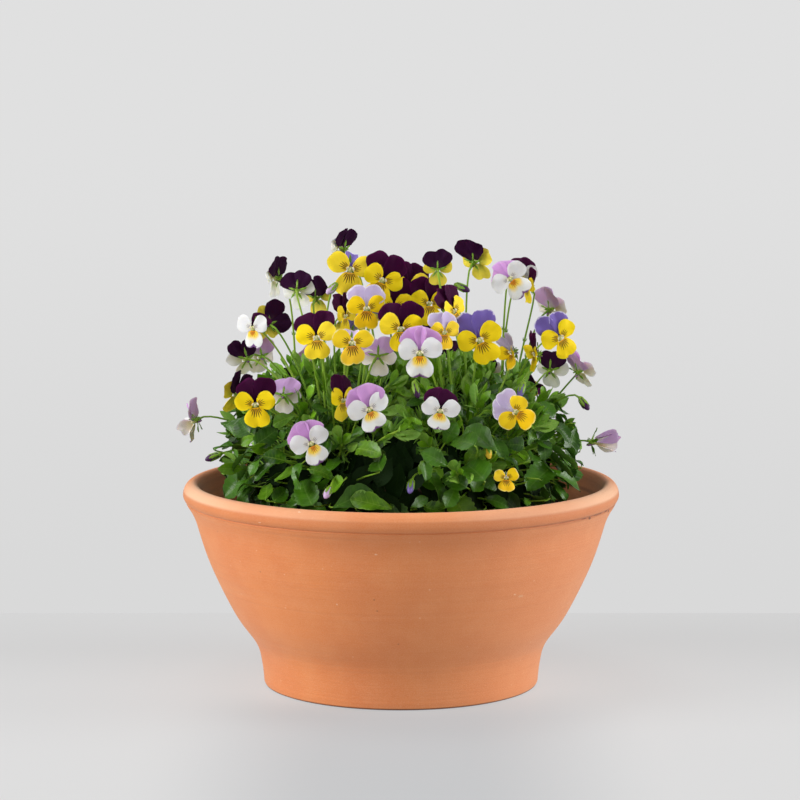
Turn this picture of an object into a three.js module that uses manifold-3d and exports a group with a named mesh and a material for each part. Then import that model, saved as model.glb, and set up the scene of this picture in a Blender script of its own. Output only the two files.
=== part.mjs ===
// A terracotta bowl pot planted with six tufts of small horned violets.
// Millimetres, +Z up, the origin on the surface under the middle of the pot, the front towards -Y.

import * as THREE from "three";
import { mergeVertices } from "three/addons/utils/BufferGeometryUtils.js";
import Module from "manifold-3d";

const wasm = await Module();
wasm.setup();

// Pot
const RIM_RADIUS = 160;
const POT_HEIGHT = 150;
const FOOT_RADIUS = 101;
const WALL = 9;
const FLOOR = 11;
const POT_SIDES = 36;
const DRAIN_RADIUS = 6;
const DRAIN_RING = 58;
const DRAIN_HOLES = 3;

// Soil, and the plain holes in it for the crowns
const FIT = 0.3;
const SOIL_LEVEL = 122;
const SOIL_MOUND = 5;
const CROWN_RADIUS = 7;
const CROWN_DEPTH = 16;
const CROWN_SIDES = 6;

// Plants: one in the middle, five round it
const CROWN_RING = 75;
const CROWN_TURNS = [-126, -54, 17, 90, 163];
const HEART_HEIGHT = 154;
const HEART_REACH = new THREE.Vector3(25, 25, 27);
const TERRITORY_MARGIN = 0.35;

// Foliage dome, shoots and leaves
const DOME_RADIUS = 140;
const DOME_BASE = 150;
const DOME_RISE = 87;
const SHOOTS = 35;
const SHOOT_RING = 119;
const SHOOT_RADIUS = 2.6;
const SHOOT_STEPS = 2;
const GOLDEN_TURN = Math.PI * (3 - Math.sqrt(5));
const LEAF_THICKNESS = 0.7;
const LEAF_STATIONS = [0.3, 0.94];
const LOW_LEAF_TURNS = [-62, 0, 62];

// Flower heads: five petals stacked on a short throat
const THROAT_RADIUS = 2.6;
const LAYER = 1;
const PETAL_THICKNESS = 0.66;
const CALYX_DEPTH = 3.7;
const STALK_RADIUS = 1.1;
const HOOK = 12;

const PETALS = [
  { turn: 14, length: 15, halfWidth: 8.4, lean: 4, layer: 0, outline: "round" },
  { turn: 61, length: 18.5, halfWidth: 9.8, lean: -8, layer: -1, outline: "fan" },
  { turn: 119, length: 18.5, halfWidth: 9.8, lean: -14, layer: -1, outline: "fan" },
  { turn: 166, length: 15, halfWidth: 8.4, lean: 4, layer: 0, outline: "round" },
  { turn: 270, length: 13.5, halfWidth: 9.8, lean: 7, layer: 0, outline: "notched" },
];
const OUTLINES = {
  round: { sides: [[0.42, 0.94], [0.9, 0.74]] },
  fan: { sides: [[0.46, 0.57], [0.84, 0.96]], tip: 1 },
  notched: { sides: [[0.42, 0.72], [0.96, 0.84]], tip: 0.9 },
};
const FACE_COLOURS = {
  yellow_dark: 0xf2c500,
  yellow_violet: 0xf4cf1c,
  yellow_pale: 0xf1d34a,
  white_dark: 0xf3f0e8,
  white_lilac: 0xe9e0ee,
};

// Each head: variety, throat at x, y, z, then the way it faces: yaw to the right of the front,
// pitch up and roll to the left, in degrees, and its size and how far its petals fold forward.
const HEADS = [
  [["white_dark", -44, 4, 320, -112, 10, 0, 0.95, 0]],
  [["white_dark", -92, 4, 298, -118, 4, 0, 0.95, 0]],
  [["white_dark", -74, -34, 292, 168, 0, 6, 0.95, 0]],
  [["yellow_dark", -60, -20, 281, 62, 5, 0, 0.8, 0]],
  [["white_dark", -105, -62, 268, -22, -4, 6, 0.92, 0]],
  [["yellow_dark", -93, -30, 267, -150, 0, 0, 1, 0]],
  [["yellow_dark", -59, -90, 264, -4, 6, 6, 1, 0]],
  [["yellow_pale", -34, -106, 262, 6, -4, 0, 1, 0]],
  [["yellow_violet", -36, -52, 309, 0, -6, -4, 1, 0]],
  [["yellow_dark", -13, -62, 302, 12, 4, -22, 1.05, 0]],
  [["yellow_pale", -24, -84, 284, 0, 0, 0, 0.95, 0]],
  [["yellow_dark", -5, -36, 281, -4, 2, 0, 1, 0]],
  [["yellow_dark", 0, -98, 271, 0, 4, 0, 1.05, 0]],
  [["white_lilac", 13, -116, 256, -3, -4, 0, 1.08, 0]],
  [["yellow_dark", 6, -16, 293, 0, 4, 0, 1, 0]],
  [["yellow_dark", 37, -84, 281, 44, 4, 8, 0.95, 0]],
  [["yellow_dark", 20, -56, 285, 18, 2, 0, 0.95, 0]],
  [["yellow_dark", 26, -58, 309, 180, 4, 0, 0.95, 0]],
  [["yellow_dark", 51, -20, 314, 78, -4, 10, 1, 0]],
  [["white_lilac", 66, -14, 304, -42, 4, 30, 0.95, 0]],
  [["white_dark", 79, -40, 298, 8, -6, -18, 0.95, 0]],
  [["yellow_dark", 92, -4, 292, -68, 0, 0, 0.75, 0]],
  [["white_lilac", 114, 12, 279, 128, 0, 0, 1, 0]],
  [["yellow_violet", 55, -96, 263, 0, -2, 14, 1.12, 0]],
  [["yellow_violet", 114, -40, 259, 26, -4, 18, 1, 0]],
  [["yellow_pale", 78, -72, 252, -58, -14, 10, 0.85, 0.45]],
  [["yellow_dark", 95, -66, 250, -74, -4, 0, 0.85, 0.2]],
  [["white_dark", 109, -17, 233, 158, 0, 0, 0.85, 0.2]],
  [["white_lilac", 130, -20, 233, 72, -6, 10, 0.95, 0.1]],
  [["yellow_pale", 31, -104, 269, 6, -4, 0, 0.85, 0]],
  [["white_dark", 27, -126, 217, 0, -4, 0, 0.98, 0]],
  [["yellow_dark", -119, -62, 223, -80, -24, 0, 0.95, 0]],
  [["yellow_dark", -102, -92, 217, 0, -4, 4, 1, 0]],
  [["white_lilac", -83, -68, 220, 170, -24, 0, 0.85, 0.3]],
  [["white_lilac", -62, -124, 194, 4, -6, 28, 0.98, 0]],
  [["yellow_dark", -41, -98, 221, 54, -4, -6, 0.92, 0]],
  [["white_lilac", -22, -126, 218, 16, -6, 20, 1.02, 0]],
  [["white_lilac", -16, -78, 249, 176, -22, 0, 0.9, 0.3]],
  [["white_dark", -113, -46, 249, -138, -24, 0, 0.85, 0.35]],
  [["white_lilac", -100, -10, 250, -122, 10, 0, 0.85, 0.3]],
  [["yellow_pale", 80, -106, 214, -12, -18, 46, 0.98, 0.1]],
  [["yellow_pale", 73, -118, 169, 8, 8, 0, 0.62, 0]],
  [["white_lilac", 146, 0, 177, 92, -12, 0, 0.9, 0.75]],
  [["white_lilac", -154, 0, 192, -96, -24, 0, 0.85, 0.6]],
  [["yellow_dark", -40, -66, 277, 58, 0, 0, 0.85, 0]],
  besidePair("yellow_dark", 150, 118, 203, 8),
  besidePair("white_lilac", 121, 112, 223, 12),
  besidePair("yellow_violet", 92, 119, 204, 4),
  besidePair("white_dark", 61, 112, 221, 10),
  besidePair("yellow_dark", 31, 118, 202, 6),
  besidePair("yellow_violet", 112, 66, 260, 26),
  besidePair("yellow_dark", 62, 66, 255, 30),
];

// Nodding buds: tip at x, y, z, yaw, pitch
const BUDS = [
  [60, -108, 188, 20, -50],
  [7, -128, 166, -10, -40],
  [10, -98, 230, 30, -60],
  [42, -56, 297, 60, -20],
  [86, -66, 226, -30, -50],
  [-134, -30, 172, -80, -20],
  [-48, -60, 297, -40, -30],
  [131, -34, 212, 40, -40],
  [-50, -130, 162, -20, -30],
  [30, 112, 176, 170, -40],
];

// Numbers from a seed, the same on every run
function seededDraw(seed) {
  let state = seed;
  return (low, high) => {
    state = (state * 1664525 + 1013904223) % 4294967296;
    return low + (high - low) * (state / 4294967296);
  };
}

function radians(degrees) {
  return (degrees * Math.PI) / 180;
}

function vector(x, y, z) {
  return new THREE.Vector3(x, y, z);
}

// Two heads of a variety side by side round the back, near enough for their side petals to cross
function besidePair(variety, turn, ring, height, pitch) {
  const halfStep = 180 / Math.PI * Math.atan(13.5 / ring);
  return [-1, 1].map((side) => {
    const place = turn + side * halfStep;
    const x = ring * Math.cos(radians(place));
    const y = ring * Math.sin(radians(place));
    return [variety, x, y, height, place + 90, pitch, 0, 1, 0];
  });
}

// A closed mesh from its corners and triangles, turned outside out if it came inside out
function closedGeometry(corners, triangles) {
  const volume = triangles.reduce((sum, [a, b, c]) => {
    const cross = corners[b].clone().cross(corners[c]);
    return sum + corners[a].dot(cross);
  }, 0);
  const outward = volume > 0 ? triangles : triangles.map(([a, b, c]) => [a, c, b]);
  const geometry = new THREE.BufferGeometry();
  geometry.setFromPoints(corners);
  geometry.setIndex(outward.flat());
  return geometry;
}

// Shared corners become one, and the slivers at the poles of a lathe or a sphere go
function welded(source) {
  const bare = source.clone();
  bare.deleteAttribute("normal");
  bare.deleteAttribute("uv");
  const merged = mergeVertices(bare, 1e-3);
  const index = Array.from(merged.index.array);
  const kept = [];
  for (let i = 0; i < index.length; i += 3) {
    const [a, b, c] = index.slice(i, i + 3);
    if (a !== b && b !== c && c !== a) {
      kept.push(a, b, c);
    }
  }
  merged.setIndex(kept);
  return merged;
}

function solidOf(geometry) {
  return new wasm.Manifold(new wasm.Mesh({
    numProp: 3,
    vertProperties: new Float32Array(geometry.getAttribute("position").array),
    triVerts: new Uint32Array(geometry.index.array),
  }));
}

function geometryOf(solid) {
  const mesh = solid.getMesh();
  const geometry = new THREE.BufferGeometry();
  geometry.setAttribute("position", new THREE.BufferAttribute(mesh.vertProperties, 3));
  geometry.setIndex(new THREE.BufferAttribute(mesh.triVerts, 1));
  return geometry;
}

function namedMesh(name, geometry, colour, roughness) {
  geometry.computeVertexNormals();
  const finish = new THREE.MeshStandardMaterial({ color: colour, roughness, metalness: 0 });
  const mesh = new THREE.Mesh(geometry, finish);
  mesh.name = name;
  return mesh;
}

function turned(profile) {
  const lathe = new THREE.LatheGeometry(profile, POT_SIDES);
  lathe.rotateX(Math.PI / 2);
  return welded(lathe);
}

function upright(radius, height, sides, place) {
  const cylinder = new THREE.CylinderGeometry(radius, radius, height, sides);
  cylinder.rotateX(Math.PI / 2);
  cylinder.translate(place.x, place.y, place.z);
  return solidOf(welded(cylinder));
}

// Pot

// The bowl's outer line, from the waist above the foot to under the rim
function bowlLine() {
  return new THREE.SplineCurve([
    new THREE.Vector2(FOOT_RADIUS + 3.2, 25),
    new THREE.Vector2(FOOT_RADIUS + 8, 36),
    new THREE.Vector2(FOOT_RADIUS + 22, 54.5),
    new THREE.Vector2(FOOT_RADIUS + 39.4, 90.5),
    new THREE.Vector2(RIM_RADIUS - 8.6, 123),
  ]);
}

// The rolled rim, from its lower edge over the top to its inner edge
function rimLine() {
  return new THREE.SplineCurve([
    new THREE.Vector2(RIM_RADIUS - 7.8, 124.8),
    new THREE.Vector2(RIM_RADIUS - 2.6, 132.6),
    new THREE.Vector2(RIM_RADIUS, 140.5),
    new THREE.Vector2(RIM_RADIUS - 3.2, POT_HEIGHT - 1.6),
    new THREE.Vector2(RIM_RADIUS - 7.4, POT_HEIGHT),
    new THREE.Vector2(RIM_RADIUS - 11.6, POT_HEIGHT - 3),
  ]);
}

// The bowl's line moved in by the wall and a further gap, from the floor up
function innerLine(gap) {
  const line = bowlLine();
  return [0.2, 0.45, 0.72, 1].map((u) => {
    const point = line.getPoint(u);
    const along = line.getTangent(u);
    return new THREE.Vector2(point.x - along.y * (WALL + gap), point.y + along.x * (WALL + gap));
  });
}

function potGeometry() {
  const profile = [
    new THREE.Vector2(0, 0),
    new THREE.Vector2(FOOT_RADIUS - 1.5, 0),
    new THREE.Vector2(FOOT_RADIUS, 1.5),
    ...bowlLine().getPoints(5),
    ...rimLine().getPoints(6),
    ...innerLine(0).reverse(),
    new THREE.Vector2(FOOT_RADIUS - WALL - 6, FLOOR),
    new THREE.Vector2(0, FLOOR),
  ];
  let pot = solidOf(turned(profile));
  for (let hole = 0; hole < DRAIN_HOLES; hole += 1) {
    const turn = (hole * 2 * Math.PI) / DRAIN_HOLES + Math.PI / 2;
    const place = vector(DRAIN_RING * Math.cos(turn), DRAIN_RING * Math.sin(turn), FLOOR / 2);
    pot = pot.subtract(upright(DRAIN_RADIUS, FLOOR * 3, 10, place));
  }
  return geometryOf(pot);
}

// Soil

function soilHeight(radius) {
  return SOIL_LEVEL + SOIL_MOUND * (1 - (radius / RIM_RADIUS) ** 2);
}

function innerRadius(height) {
  const line = innerLine(0);
  const above = line.findIndex((point) => point.y > height);
  if (above < 1) {
    return above === 0 ? line[0].x : RIM_RADIUS - 15;
  }
  const low = line[above - 1];
  const high = line[above];
  return low.x + ((high.x - low.x) * (height - low.y)) / (high.y - low.y);
}

function soilGeometry(crowns) {
  const wall = innerLine(FIT).filter((point) => point.y < SOIL_LEVEL);
  const edge = innerRadius(SOIL_LEVEL) - FIT - 0.2;
  const profile = [
    new THREE.Vector2(0, FLOOR + FIT),
    new THREE.Vector2(FOOT_RADIUS - WALL - 6 - FIT, FLOOR + FIT),
    ...wall,
    new THREE.Vector2(edge, soilHeight(edge)),
    new THREE.Vector2(edge * 0.6, soilHeight(edge * 0.6)),
    new THREE.Vector2(0, soilHeight(0)),
  ];
  let soil = solidOf(turned(profile));
  for (const crown of crowns) {
    const surface = soilHeight(Math.hypot(crown.x, crown.y));
    const place = vector(crown.x, crown.y, surface);
    soil = soil.subtract(upright(CROWN_RADIUS + FIT, 2 * CROWN_DEPTH, CROWN_SIDES, place));
  }
  return geometryOf(soil);
}

// Territories: each plant keeps to the ground nearer its own crown than any other

function crownPlaces() {
  const ring = CROWN_TURNS.map((turn) => {
    return vector(CROWN_RING * Math.cos(radians(turn)), CROWN_RING * Math.sin(radians(turn)), 0);
  });
  return [vector(0, 0, 0), ...ring];
}

function nearestCrown(point, crowns) {
  const distances = crowns.map((crown) => Math.hypot(point.x - crown.x, point.y - crown.y));
  return distances.indexOf(Math.min(...distances));
}

// How far a point is over the border of a plant's ground, negative inside
function overBorder(point, plant, other, crowns) {
  const dx = crowns[other].x - crowns[plant].x;
  const dy = crowns[other].y - crowns[plant].y;
  const length = Math.hypot(dx, dy);
  const middleX = (crowns[other].x + crowns[plant].x) / 2;
  const middleY = (crowns[other].y + crowns[plant].y) / 2;
  return ((point.x - middleX) * dx + (point.y - middleY) * dy) / length;
}

function insideTerritory(point, plant, crowns) {
  return crowns.every((crown, other) => {
    return other === plant || overBorder(point, plant, other, crowns) < -TERRITORY_MARGIN;
  });
}

function pulledInside(point, plant, crowns, margin) {
  const pulled = point.clone();
  crowns.forEach((crown, other) => {
    if (other === plant) {
      return;
    }
    const over = overBorder(pulled, plant, other, crowns) + margin;
    if (over > 0) {
      const away = crowns[plant].clone().sub(crown).setZ(0).normalize();
      pulled.addScaledVector(away, over);
    }
  });
  return pulled;
}

// Flower heads

// A head's throat and its own axes: right, up and the way it faces
function headFrame([variety, x, y, z, yaw, pitch, roll, size, fold]) {
  const facing = vector(
    Math.sin(radians(yaw)) * Math.cos(radians(pitch)),
    -Math.cos(radians(yaw)) * Math.cos(radians(pitch)),
    Math.sin(radians(pitch)),
  );
  const level = vector(Math.cos(radians(yaw)), Math.sin(radians(yaw)), 0);
  const top = facing.clone().cross(level);
  const c = Math.cos(radians(roll));
  const s = Math.sin(radians(roll));
  const right = level.clone().multiplyScalar(c).addScaledVector(top, s);
  const up = top.clone().multiplyScalar(c).addScaledVector(level, -s);
  return { variety, throat: vector(x, y, z), right, up, level, top, facing, size, fold };
}

function inHead(head, across, height, depth) {
  return head.throat.clone()
    .addScaledVector(head.right, across * head.size)
    .addScaledVector(head.up, height * head.size)
    .addScaledVector(head.facing, depth * head.size);
}

// The direction of each petal: as grown, and evenly spread where the petals fold forward
function petalTurns(fold) {
  return PETALS.map((petal, i) => {
    const even = 72 * i - 18;
    return petal.turn + (even - petal.turn) * fold;
  });
}

// One petal's outer corners, front face then back face, from its right side round to its left
function petalCorners(head, petal, turn) {
  const outline = OUTLINES[petal.outline];
  const rightSide = outline.sides.map(([s, w]) => [s, -w]);
  const leftSide = outline.sides.map(([s, w]) => [s, w]).reverse();
  const tip = outline.tip ? [[outline.tip, 0]] : [];
  const rim = [...rightSide, ...tip, ...leftSide];
  const lean = radians(petal.lean + head.fold * 62);
  const width = petal.halfWidth * (1 - 0.46 * head.fold);
  const c = Math.cos(radians(turn));
  const s = Math.sin(radians(turn));
  const middle = (petal.layer + 0.5) * LAYER;
  return [0.5, -0.5].map((face) => rim.map(([along, side]) => {
    const reach = THROAT_RADIUS * 0.85 + along * petal.length * Math.cos(lean);
    const across = side * width;
    const depth = middle + along * petal.length * Math.sin(lean) + face * PETAL_THICKNESS;
    return inHead(head, reach * c - across * s, reach * s + across * c, depth);
  }));
}

// A head as one welded mesh: a five-sided throat whose sides carry a petal each in its layer
function headGeometry(head) {
  const turns = petalTurns(head.fold);
  const corners = [];
  const triangles = [];
  const levels = [-1, 0, 1];
  const throat = turns.map((turn, i) => {
    const before = i === 0 ? turns[4] - 360 : turns[i - 1];
    const edge = radians((turn + before) / 2);
    return levels.map((level) => {
      const reach = THROAT_RADIUS;
      corners.push(inHead(head, reach * Math.cos(edge), reach * Math.sin(edge), level * LAYER));
      return corners.length - 1;
    });
  });
  PETALS.forEach((petal, i) => {
    const first = throat[i];
    const second = throat[(i + 1) % 5];
    const low = petal.layer + 1;
    const high = low + 1;
    levels.slice(0, -1).forEach((level, row) => {
      if (row !== low) {
        triangles.push([first[row], second[row], second[row + 1]]);
        triangles.push([first[row], second[row + 1], first[row + 1]]);
      }
    });
    const [front, back] = petalCorners(head, petal, turns[i]);
    const frontLoop = [first[high], ...addAll(corners, front), second[high]];
    const backLoop = [first[low], ...addAll(corners, back), second[low]];
    stripBetween(frontLoop, triangles, false);
    stripBetween(backLoop, triangles, true);
    for (let k = 0; k < frontLoop.length - 1; k += 1) {
      triangles.push([backLoop[k], backLoop[k + 1], frontLoop[k + 1]]);
      triangles.push([backLoop[k], frontLoop[k + 1], frontLoop[k]]);
    }
  });
  for (let k = 1; k < 4; k += 1) {
    triangles.push([throat[0][2], throat[k][2], throat[k + 1][2]]);
    triangles.push([throat[0][0], throat[k + 1][0], throat[k][0]]);
  }
  return closedGeometry(corners, triangles);
}

function addAll(corners, points) {
  return points.map((point) => corners.push(point) - 1);
}

// Triangles across a long flat loop, between its two sides, up to the tip in its middle
function stripBetween(loop, triangles, flipped) {
  let low = 0;
  let high = loop.length - 1;
  while (high - low > 1) {
    const piece = [[loop[low], loop[low + 1], loop[high]]];
    if (high - low > 2) {
      piece.push([loop[low + 1], loop[high - 1], loop[high]]);
    }
    piece.forEach(([a, b, c]) => triangles.push(flipped ? [a, c, b] : [a, b, c]));
    low += 1;
    high -= 1;
  }
}

function bloomGeometry(rows) {
  const heads = rows.map((row) => solidOf(headGeometry(headFrame(row))));
  const joined = heads.reduce((all, head) => all.add(head));
  return geometryOf(joined);
}

// Whether a point is well away from a head's petals and from the calyx behind them
function clearOfHead(point, head, spare) {
  const offset = point.clone().sub(head.throat);
  const depth = offset.dot(head.facing) / head.size;
  const reach = Math.sqrt(Math.max(offset.lengthSq() / head.size ** 2 - depth ** 2, 0));
  const deep = head.fold > 0 ? 4 + head.fold * 14 : 3.2;
  const nearPetals = depth > -6.5 - spare && depth < deep + spare && reach < 19.5 + spare;
  const nearCalyx = depth > -11 - spare && depth < 0 && reach < 6 + spare;
  return !nearPetals && !nearCalyx;
}

// Stalks

// The plant a head grows on: the one nearest to the hook of its stalk
function plantOf(head, crowns) {
  const hook = head.throat.clone().addScaledVector(head.facing, -CALYX_DEPTH - HOOK);
  return nearestCrown(hook, crowns);
}

// The line of a stalk: up from the heart of its plant, over in a hook and into the calyx
function stalkCurve(head, plant, crowns, bend) {
  const crown = crowns[plant];
  const end = head.throat.clone().addScaledVector(head.facing, -CALYX_DEPTH * head.size);
  const outward = vector(end.x - crown.x, end.y - crown.y, 0);
  const start = vector(crown.x, crown.y, HEART_HEIGHT + 4);
  start.addScaledVector(outward, Math.min(0.3, 14 / Math.max(outward.length(), 1)));
  const side = vector(-outward.y, outward.x, 0).normalize();
  const rise = end.clone().addScaledVector(head.facing, -HOOK);
  rise.z += 3;
  rise.addScaledVector(side, bend * 0.5);
  const lift = start.clone();
  lift.z += Math.max(0.55 * (end.z - start.z), 6);
  lift.addScaledVector(side, bend);
  return new THREE.CubicBezierCurve3(
    start,
    pulledInside(lift, plant, crowns, 2),
    pulledInside(rise, plant, crowns, 2),
    end,
  );
}

const BENDS = [0, 8, -8, 16, -16, 24, -24, 34, -34];
const STALK_CHECKS = 14;

// The first bend whose stalk keeps clear of every other head, or the one that passes fewest
function clearStalk(head, plant, crowns, heads) {
  let best = null;
  for (const bend of BENDS) {
    const curve = stalkCurve(head, plant, crowns, bend);
    let met = 0;
    for (let i = 0; i <= STALK_CHECKS; i += 1) {
      const point = curve.getPoint(i / STALK_CHECKS);
      met += heads.filter((other) => {
        return other.throat.distanceTo(head.throat) > 1 && !clearOfHead(point, other, 1.2);
      }).length;
    }
    if (best === null || met < best.met) {
      best = { met, curve };
    }
  }
  return best.curve;
}

// A stalk with three sides that opens into a loop of points and closes at a tip
function stalkGeometry(curve, head, loop, tipDepth) {
  const steps = 3;
  const corners = [];
  const triangles = [];
  const rings = [];
  for (let i = 0; i <= steps; i += 1) {
    const along = curve.getTangent(i / steps);
    const centre = curve.getPoint(i / steps);
    const across = head.level.clone().addScaledVector(along, -head.level.dot(along)).normalize();
    const over = along.clone().cross(across);
    rings.push([90, 210, 330].map((turn) => {
      const c = Math.cos(radians(turn)) * STALK_RADIUS;
      const s = Math.sin(radians(turn)) * STALK_RADIUS;
      return corners.push(centre.clone().addScaledVector(across, c).addScaledVector(over, s)) - 1;
    }));
  }
  for (let i = 0; i < steps; i += 1) {
    for (let k = 0; k < 3; k += 1) {
      const next = (k + 1) % 3;
      triangles.push([rings[i][k], rings[i][next], rings[i + 1][next]]);
      triangles.push([rings[i][k], rings[i + 1][next], rings[i + 1][k]]);
    }
  }
  triangles.push([rings[0][0], rings[0][2], rings[0][1]]);
  const level = { ...head, right: head.level, up: head.top };
  const outer = loop.map(({ turn, reach, depth }) => {
    const across = reach * Math.cos(radians(turn));
    const height = reach * Math.sin(radians(turn));
    return corners.push(inHead(level, across, height, depth)) - 1;
  });
  const count = outer.length;
  ringToLoop(rings[steps], outer, triangles);
  const tip = corners.push(inHead(level, 0, 0, tipDepth)) - 1;
  for (let k = 0; k < count; k += 1) {
    triangles.push([outer[k], outer[(k + 1) % count], tip]);
  }
  return closedGeometry(corners, triangles);
}

// Triangles between two loops that start at the same bearing, a step of either at a time
function ringToLoop(ring, loop, triangles) {
  let inner = 0;
  let outer = 0;
  while (inner < ring.length || outer < loop.length) {
    const innerTurn = (inner + 1) / ring.length;
    const outerTurn = (outer + 1) / loop.length;
    const start = ring[inner % ring.length];
    const far = loop[outer % loop.length];
    if (outer < loop.length && outerTurn <= innerTurn) {
      outer += 1;
      triangles.push([start, loop[outer % loop.length], far]);
    } else {
      inner += 1;
      triangles.push([start, ring[inner % ring.length], far]);
    }
  }
}

// Five sepals spread behind the petals
function calyxLoop() {
  return Array.from({ length: 5 }, (unused, i) => ({ turn: 90 + 72 * i, reach: 5.4, depth: -2.8 }));
}

function budLoop() {
  return Array.from({ length: 5 }, (unused, i) => ({ turn: 90 + 72 * i, reach: 2.8, depth: 0 }));
}

const CALYX_TIP = -1.35;
const BUD_TIP = 8;

// Shoots and leaves

function domeHeight(radius) {
  return DOME_BASE + DOME_RISE * (1 - Math.min(radius / DOME_RADIUS, 1) ** 2.6) ** 0.75;
}

// Shoot tips, spread over the dome as seeds are in a sunflower
function shootCurves(crowns) {
  return Array.from({ length: SHOOTS }, (unused, i) => {
    const reach = SHOOT_RING * Math.sqrt((i + 0.5) / SHOOTS);
    const turn = i * GOLDEN_TURN;
    const tip = vector(reach * Math.cos(turn), reach * Math.sin(turn), domeHeight(reach) - 15);
    const plant = nearestCrown(tip, crowns);
    const held = pulledInside(tip, plant, crowns, 4);
    const start = vector(crowns[plant].x, crowns[plant].y, HEART_HEIGHT - 4);
    const lift = start.clone().lerp(held, 0.45);
    lift.z = start.z + 0.75 * (held.z - start.z);
    return { plant, curve: new THREE.QuadraticBezierCurve3(start, lift, held) };
  });
}

// A leaf: where its stalk starts, the way it points, the way its upper face looks, its sizes
function leafAt(curve, station, turn, seed) {
  const draw = seededDraw(seed);
  const [start, middle, end] = curve.getSpacedPoints(SHOOT_STEPS);
  const base = middle.clone().lerp(end, station);
  const along = (station > 0 ? end.clone().sub(middle) : middle.clone().sub(start)).normalize();
  const outward = vector(base.x, base.y, 55 + 0.3 * (base.z - DOME_BASE)).normalize();
  const across = along.clone().cross(vector(0.2, 0.1, 1)).normalize();
  const over = across.clone().cross(along);
  const way = across.multiplyScalar(Math.cos(turn)).addScaledVector(over, Math.sin(turn));
  way.addScaledVector(along, 0.35).addScaledVector(outward, 0.55).normalize();
  const low = Math.min(Math.max((205 - base.z) / 55, 0), 1);
  const length = (31 + 7 * low) * draw(0.92, 1.08);
  return {
    base,
    way,
    face: faceOf(way, outward),
    stalk: 5 + 6 * low,
    length,
    width: length * (0.62 + 0.16 * low),
    droop: 3 + 4 * low,
  };
}

function faceOf(way, outward) {
  return outward.clone().addScaledVector(way, -outward.dot(way)).normalize();
}

// Big round leaves low down, out of the heart of a plant to the rim
function lowLeaf(crown, turn) {
  const bearing = Math.atan2(crown.y, crown.x) + radians(turn);
  const way = vector(Math.cos(bearing), Math.sin(bearing), 0.2).normalize();
  const base = vector(crown.x, crown.y, HEART_HEIGHT - 12).addScaledVector(way, 12);
  const face = faceOf(way, vector(0, 0, 1));
  return { base, way, face, stalk: 18, length: 32, width: 27, droop: 5 };
}

// Half of the scalloped outline: how far along the blade, and how much of the half width
const SCALLOPS = [[0, 0.09], [0.27, 1], [0.4, 0.76], [0.66, 0.82]];
const STALK_HALF_WIDTH = 0.6;

function leafCorners(leaf) {
  const side = leaf.way.clone().cross(leaf.face);
  const spot = (along, across) => {
    const run = Math.max(along, 0) / leaf.length;
    return leaf.base.clone()
      .addScaledVector(leaf.way, along + leaf.stalk)
      .addScaledVector(side, across)
      .addScaledVector(leaf.face, -leaf.droop * run * run);
  };
  const half = [
    [-leaf.stalk - 0.2, STALK_HALF_WIDTH],
    ...SCALLOPS.map(([s, w]) => [s * leaf.length, Math.max((w * leaf.width) / 2, STALK_HALF_WIDTH)]),
  ];
  const right = half.map(([along, across]) => spot(along, across));
  const left = half.map(([along, across]) => spot(along, -across)).reverse();
  return [...right, spot(leaf.length, 0), ...left];
}

function leafGeometry(leaf) {
  const loop = leafCorners(leaf);
  const lift = leaf.face.clone().multiplyScalar(LEAF_THICKNESS / 2);
  const corners = [...loop.map((p) => p.clone().add(lift)), ...loop.map((p) => p.clone().sub(lift))];
  const count = loop.length;
  const front = Array.from({ length: count }, (unused, i) => i);
  const back = front.map((i) => i + count);
  const triangles = [];
  stripBetween(front, triangles, false);
  stripBetween(back, triangles, true);
  for (let k = 0; k < count; k += 1) {
    const next = (k + 1) % count;
    triangles.push([back[k], back[next], front[next]]);
    triangles.push([back[k], front[next], front[k]]);
  }
  return closedGeometry(corners, triangles);
}

// A leaf fits where it keeps to its own ground, off the soil, off the pot and off every head
function leafFits(leaf, plant, crowns, heads) {
  const loop = leafCorners(leaf);
  const rib = [0.25, 0.5, 0.75].map((s) => {
    return leaf.base.clone().addScaledVector(leaf.way, leaf.stalk + s * leaf.length);
  });
  const between = loop.map((point, i) => point.clone().lerp(loop[(i + 1) % loop.length], 0.5));
  return [...loop, ...between, ...rib].every((point) => {
    const radius = Math.hypot(point.x, point.y);
    const offPot = point.z > POT_HEIGHT + 2 || radius < innerRadius(point.z) - 3;
    const offSoil = point.z > soilHeight(radius) + 2;
    const offHeads = heads.every((head) => clearOfHead(point, head, 0.8));
    return offPot && offSoil && offHeads && insideTerritory(point, plant, crowns);
  });
}

const LEAF_TRIES = [0, 0.5, -0.5, 1, -1, 1.5, -1.5, 2, -2, 2.6, -2.6];
const FACES_WORTH_A_LEAF = 80;

function faceCount(solid) {
  return solid.getMesh().triVerts.length / 3;
}

// The one of several ways a leaf could turn that crosses least of what has grown so far
function leastCrossing(leaves, grown) {
  const before = faceCount(grown);
  const joined = leaves.map((leaf) => grown.add(solidOf(leafGeometry(leaf))));
  const added = joined.map((solid) => faceCount(solid) - before);
  const least = Math.min(...added);
  return least <= FACES_WORTH_A_LEAF ? joined[added.indexOf(least)] : grown;
}

// The ways each leaf of a plant could turn: up its shoots, and low down on the outer plants
function leafChoices(plant, shoots, crowns) {
  const choices = [];
  shoots.forEach(({ plant: owner, curve }, shoot) => {
    if (owner === plant) {
      LEAF_STATIONS.forEach((station, k) => {
        const turn = shoot * 1.9 + k * GOLDEN_TURN;
        const seed = shoot * 31 + k * 7 + 11;
        choices.push(LEAF_TRIES.map((extra) => leafAt(curve, station, turn + extra, seed)));
      });
    }
  });
  if (plant > 0) {
    LOW_LEAF_TURNS.forEach((turn) => {
      choices.push([0, 9, -9, 18, -18].map((extra) => lowLeaf(crowns[plant], turn + extra)));
    });
  }
  return choices;
}

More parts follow.
